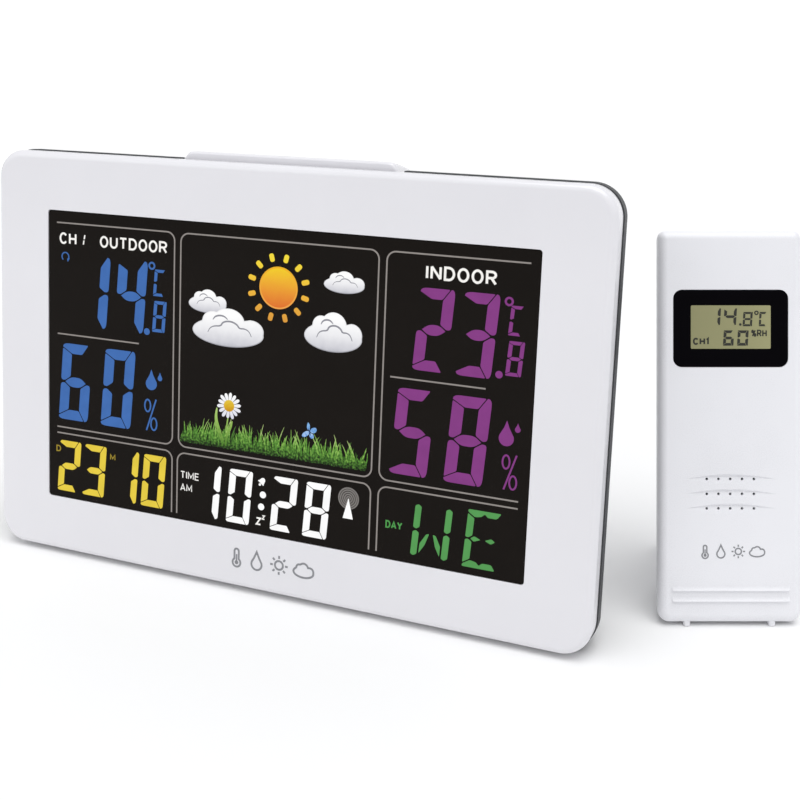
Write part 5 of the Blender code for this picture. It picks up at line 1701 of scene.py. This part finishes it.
# ---------------------------------------------------------------- stage
class STATION_OT_stage(StationOperator, bpy.types.Operator):
    """Set the pale floor, the soft lights and the camera"""
    bl_idname = "station.stage"
    bl_label = "Stage"

    def execute(self, context):
        use, scene = context.scene.station_stage, context.scene
        finish = painted_floor("matt_white_board", use.floor_colour)
        path = [(-30.0, 0.0), (7.0, 0.0), (8.2, 0.15), (9.2, 0.7), (9.8, 1.6), (10.0, 3.0),
                (10.0, 9.0)]
        mesh = bpy.data.meshes.new("floor")
        verts = [(x, y, z) for y, z in path for x in (-12.0, 12.0)]
        mesh.from_pydata(verts, [], [(2 * i, 2 * i + 1, 2 * i + 3, 2 * i + 2)
                                     for i in range(len(path) - 1)])
        mesh.materials.append(finish)
        mesh.shade_smooth()
        floor = bpy.data.objects.new("floor", mesh)
        scene.collection.objects.link(floor)

        world = bpy.data.worlds.new("studio")
        scene.world = world
        world.use_nodes = True
        ground = world.node_tree.nodes["Background"]
        ground.inputs["Color"].default_value = (0.97, 0.98, 1.0, 1.0)
        ground.inputs["Strength"].default_value = 0.6
        for name, kind, spot, aim, wide, power in (
                ("overhead_scrim", "SUN", (0.25, -0.25, 1.6), (0, 0, 0), math.radians(50), 1.75),
                ("left_softbox", "AREA", (-1.3, -1.2, 0.9), (0, 0, 0.06), 1.2, 2.8)):
            lamp = bpy.data.lights.new(name, kind)
            lamp.energy = power
            if kind == "SUN":
                lamp.angle = wide
            else:
                lamp.size = wide
            holder = bpy.data.objects.new(name, lamp)
            holder.location = spot
            holder.rotation_euler = (Vector(aim) - Vector(spot)).to_track_quat("-Z", "Y").to_euler()
            scene.collection.objects.link(holder)
        camera = bpy.data.objects.new("camera", bpy.data.cameras.new("camera"))
        camera.data.lens, camera.data.sensor_width = use.focal_length, 36.0
        camera.data.shift_x, camera.data.shift_y = -0.0007, -0.1492
        camera.location = (0.133122, -0.324371, 0.176978)
        camera.rotation_euler = (math.radians(90 - 13.716), 0, math.radians(22.151))
        camera.data.clip_start = 0.01
        scene.collection.objects.link(camera)
        scene.camera = camera
        scene.view_settings.view_transform = "Standard"
        return {"FINISHED"}


PIECE_OPERATORS = (STATION_OT_front_frame, STATION_OT_window, STATION_OT_screen_lines,
                   STATION_OT_readings, STATION_OT_legends, STATION_OT_forecast, STATION_OT_marks,
                   STATION_OT_rear_case, STATION_OT_snooze_bar, STATION_OT_rear_keys,
                   STATION_OT_battery_door, STATION_OT_stand, STATION_OT_fixings,
                   STATION_OT_cells, STATION_OT_sensor_front, STATION_OT_sensor_window,
                   STATION_OT_sensor_rear, STATION_OT_sensor_fittings, STATION_OT_inner_parts,
                   STATION_OT_stage)


class STATION_PT_pieces(bpy.types.Panel):
    """Sidebar list of the station's sizes, colours and pieces"""
    bl_idname = "STATION_PT_pieces"
    bl_label = "Home weather station"
    bl_space_type = "VIEW_3D"
    bl_region_type = "UI"
    bl_category = "Station"

    def draw(self, context):
        for label, settings in (("Display unit", context.scene.station_display),
                                ("Outdoor sensor", context.scene.station_sensor),
                                ("Stage", context.scene.station_stage)):
            box = self.layout.box()
            box.label(text=label)
            for field in type(settings).__annotations__:
                box.prop(settings, field)
        column = self.layout.column(align=True)
        for operator in PIECE_OPERATORS:
            column.operator(operator.bl_idname)


CLASSES = (StationDisplaySettings, StationSensorSettings, StationStageSettings, *PIECE_OPERATORS,
           STATION_PT_pieces)


def register():
    for entry in CLASSES:
        bpy.utils.register_class(entry)
    bpy.types.Scene.station_display = bpy.props.PointerProperty(type=StationDisplaySettings)
    bpy.types.Scene.station_sensor = bpy.props.PointerProperty(type=StationSensorSettings)
    bpy.types.Scene.station_stage = bpy.props.PointerProperty(type=StationStageSettings)


def unregister():
    for name in ("station_display", "station_sensor", "station_stage"):
        delattr(bpy.types.Scene, name)
    for entry in reversed(CLASSES):
        bpy.utils.unregister_class(entry)


def main():
    register()
    for operator in PIECE_OPERATORS:
        group, name = operator.bl_idname.split(".")
        getattr(getattr(bpy.ops, group), name)()


if __name__ == "__main__":
    main()
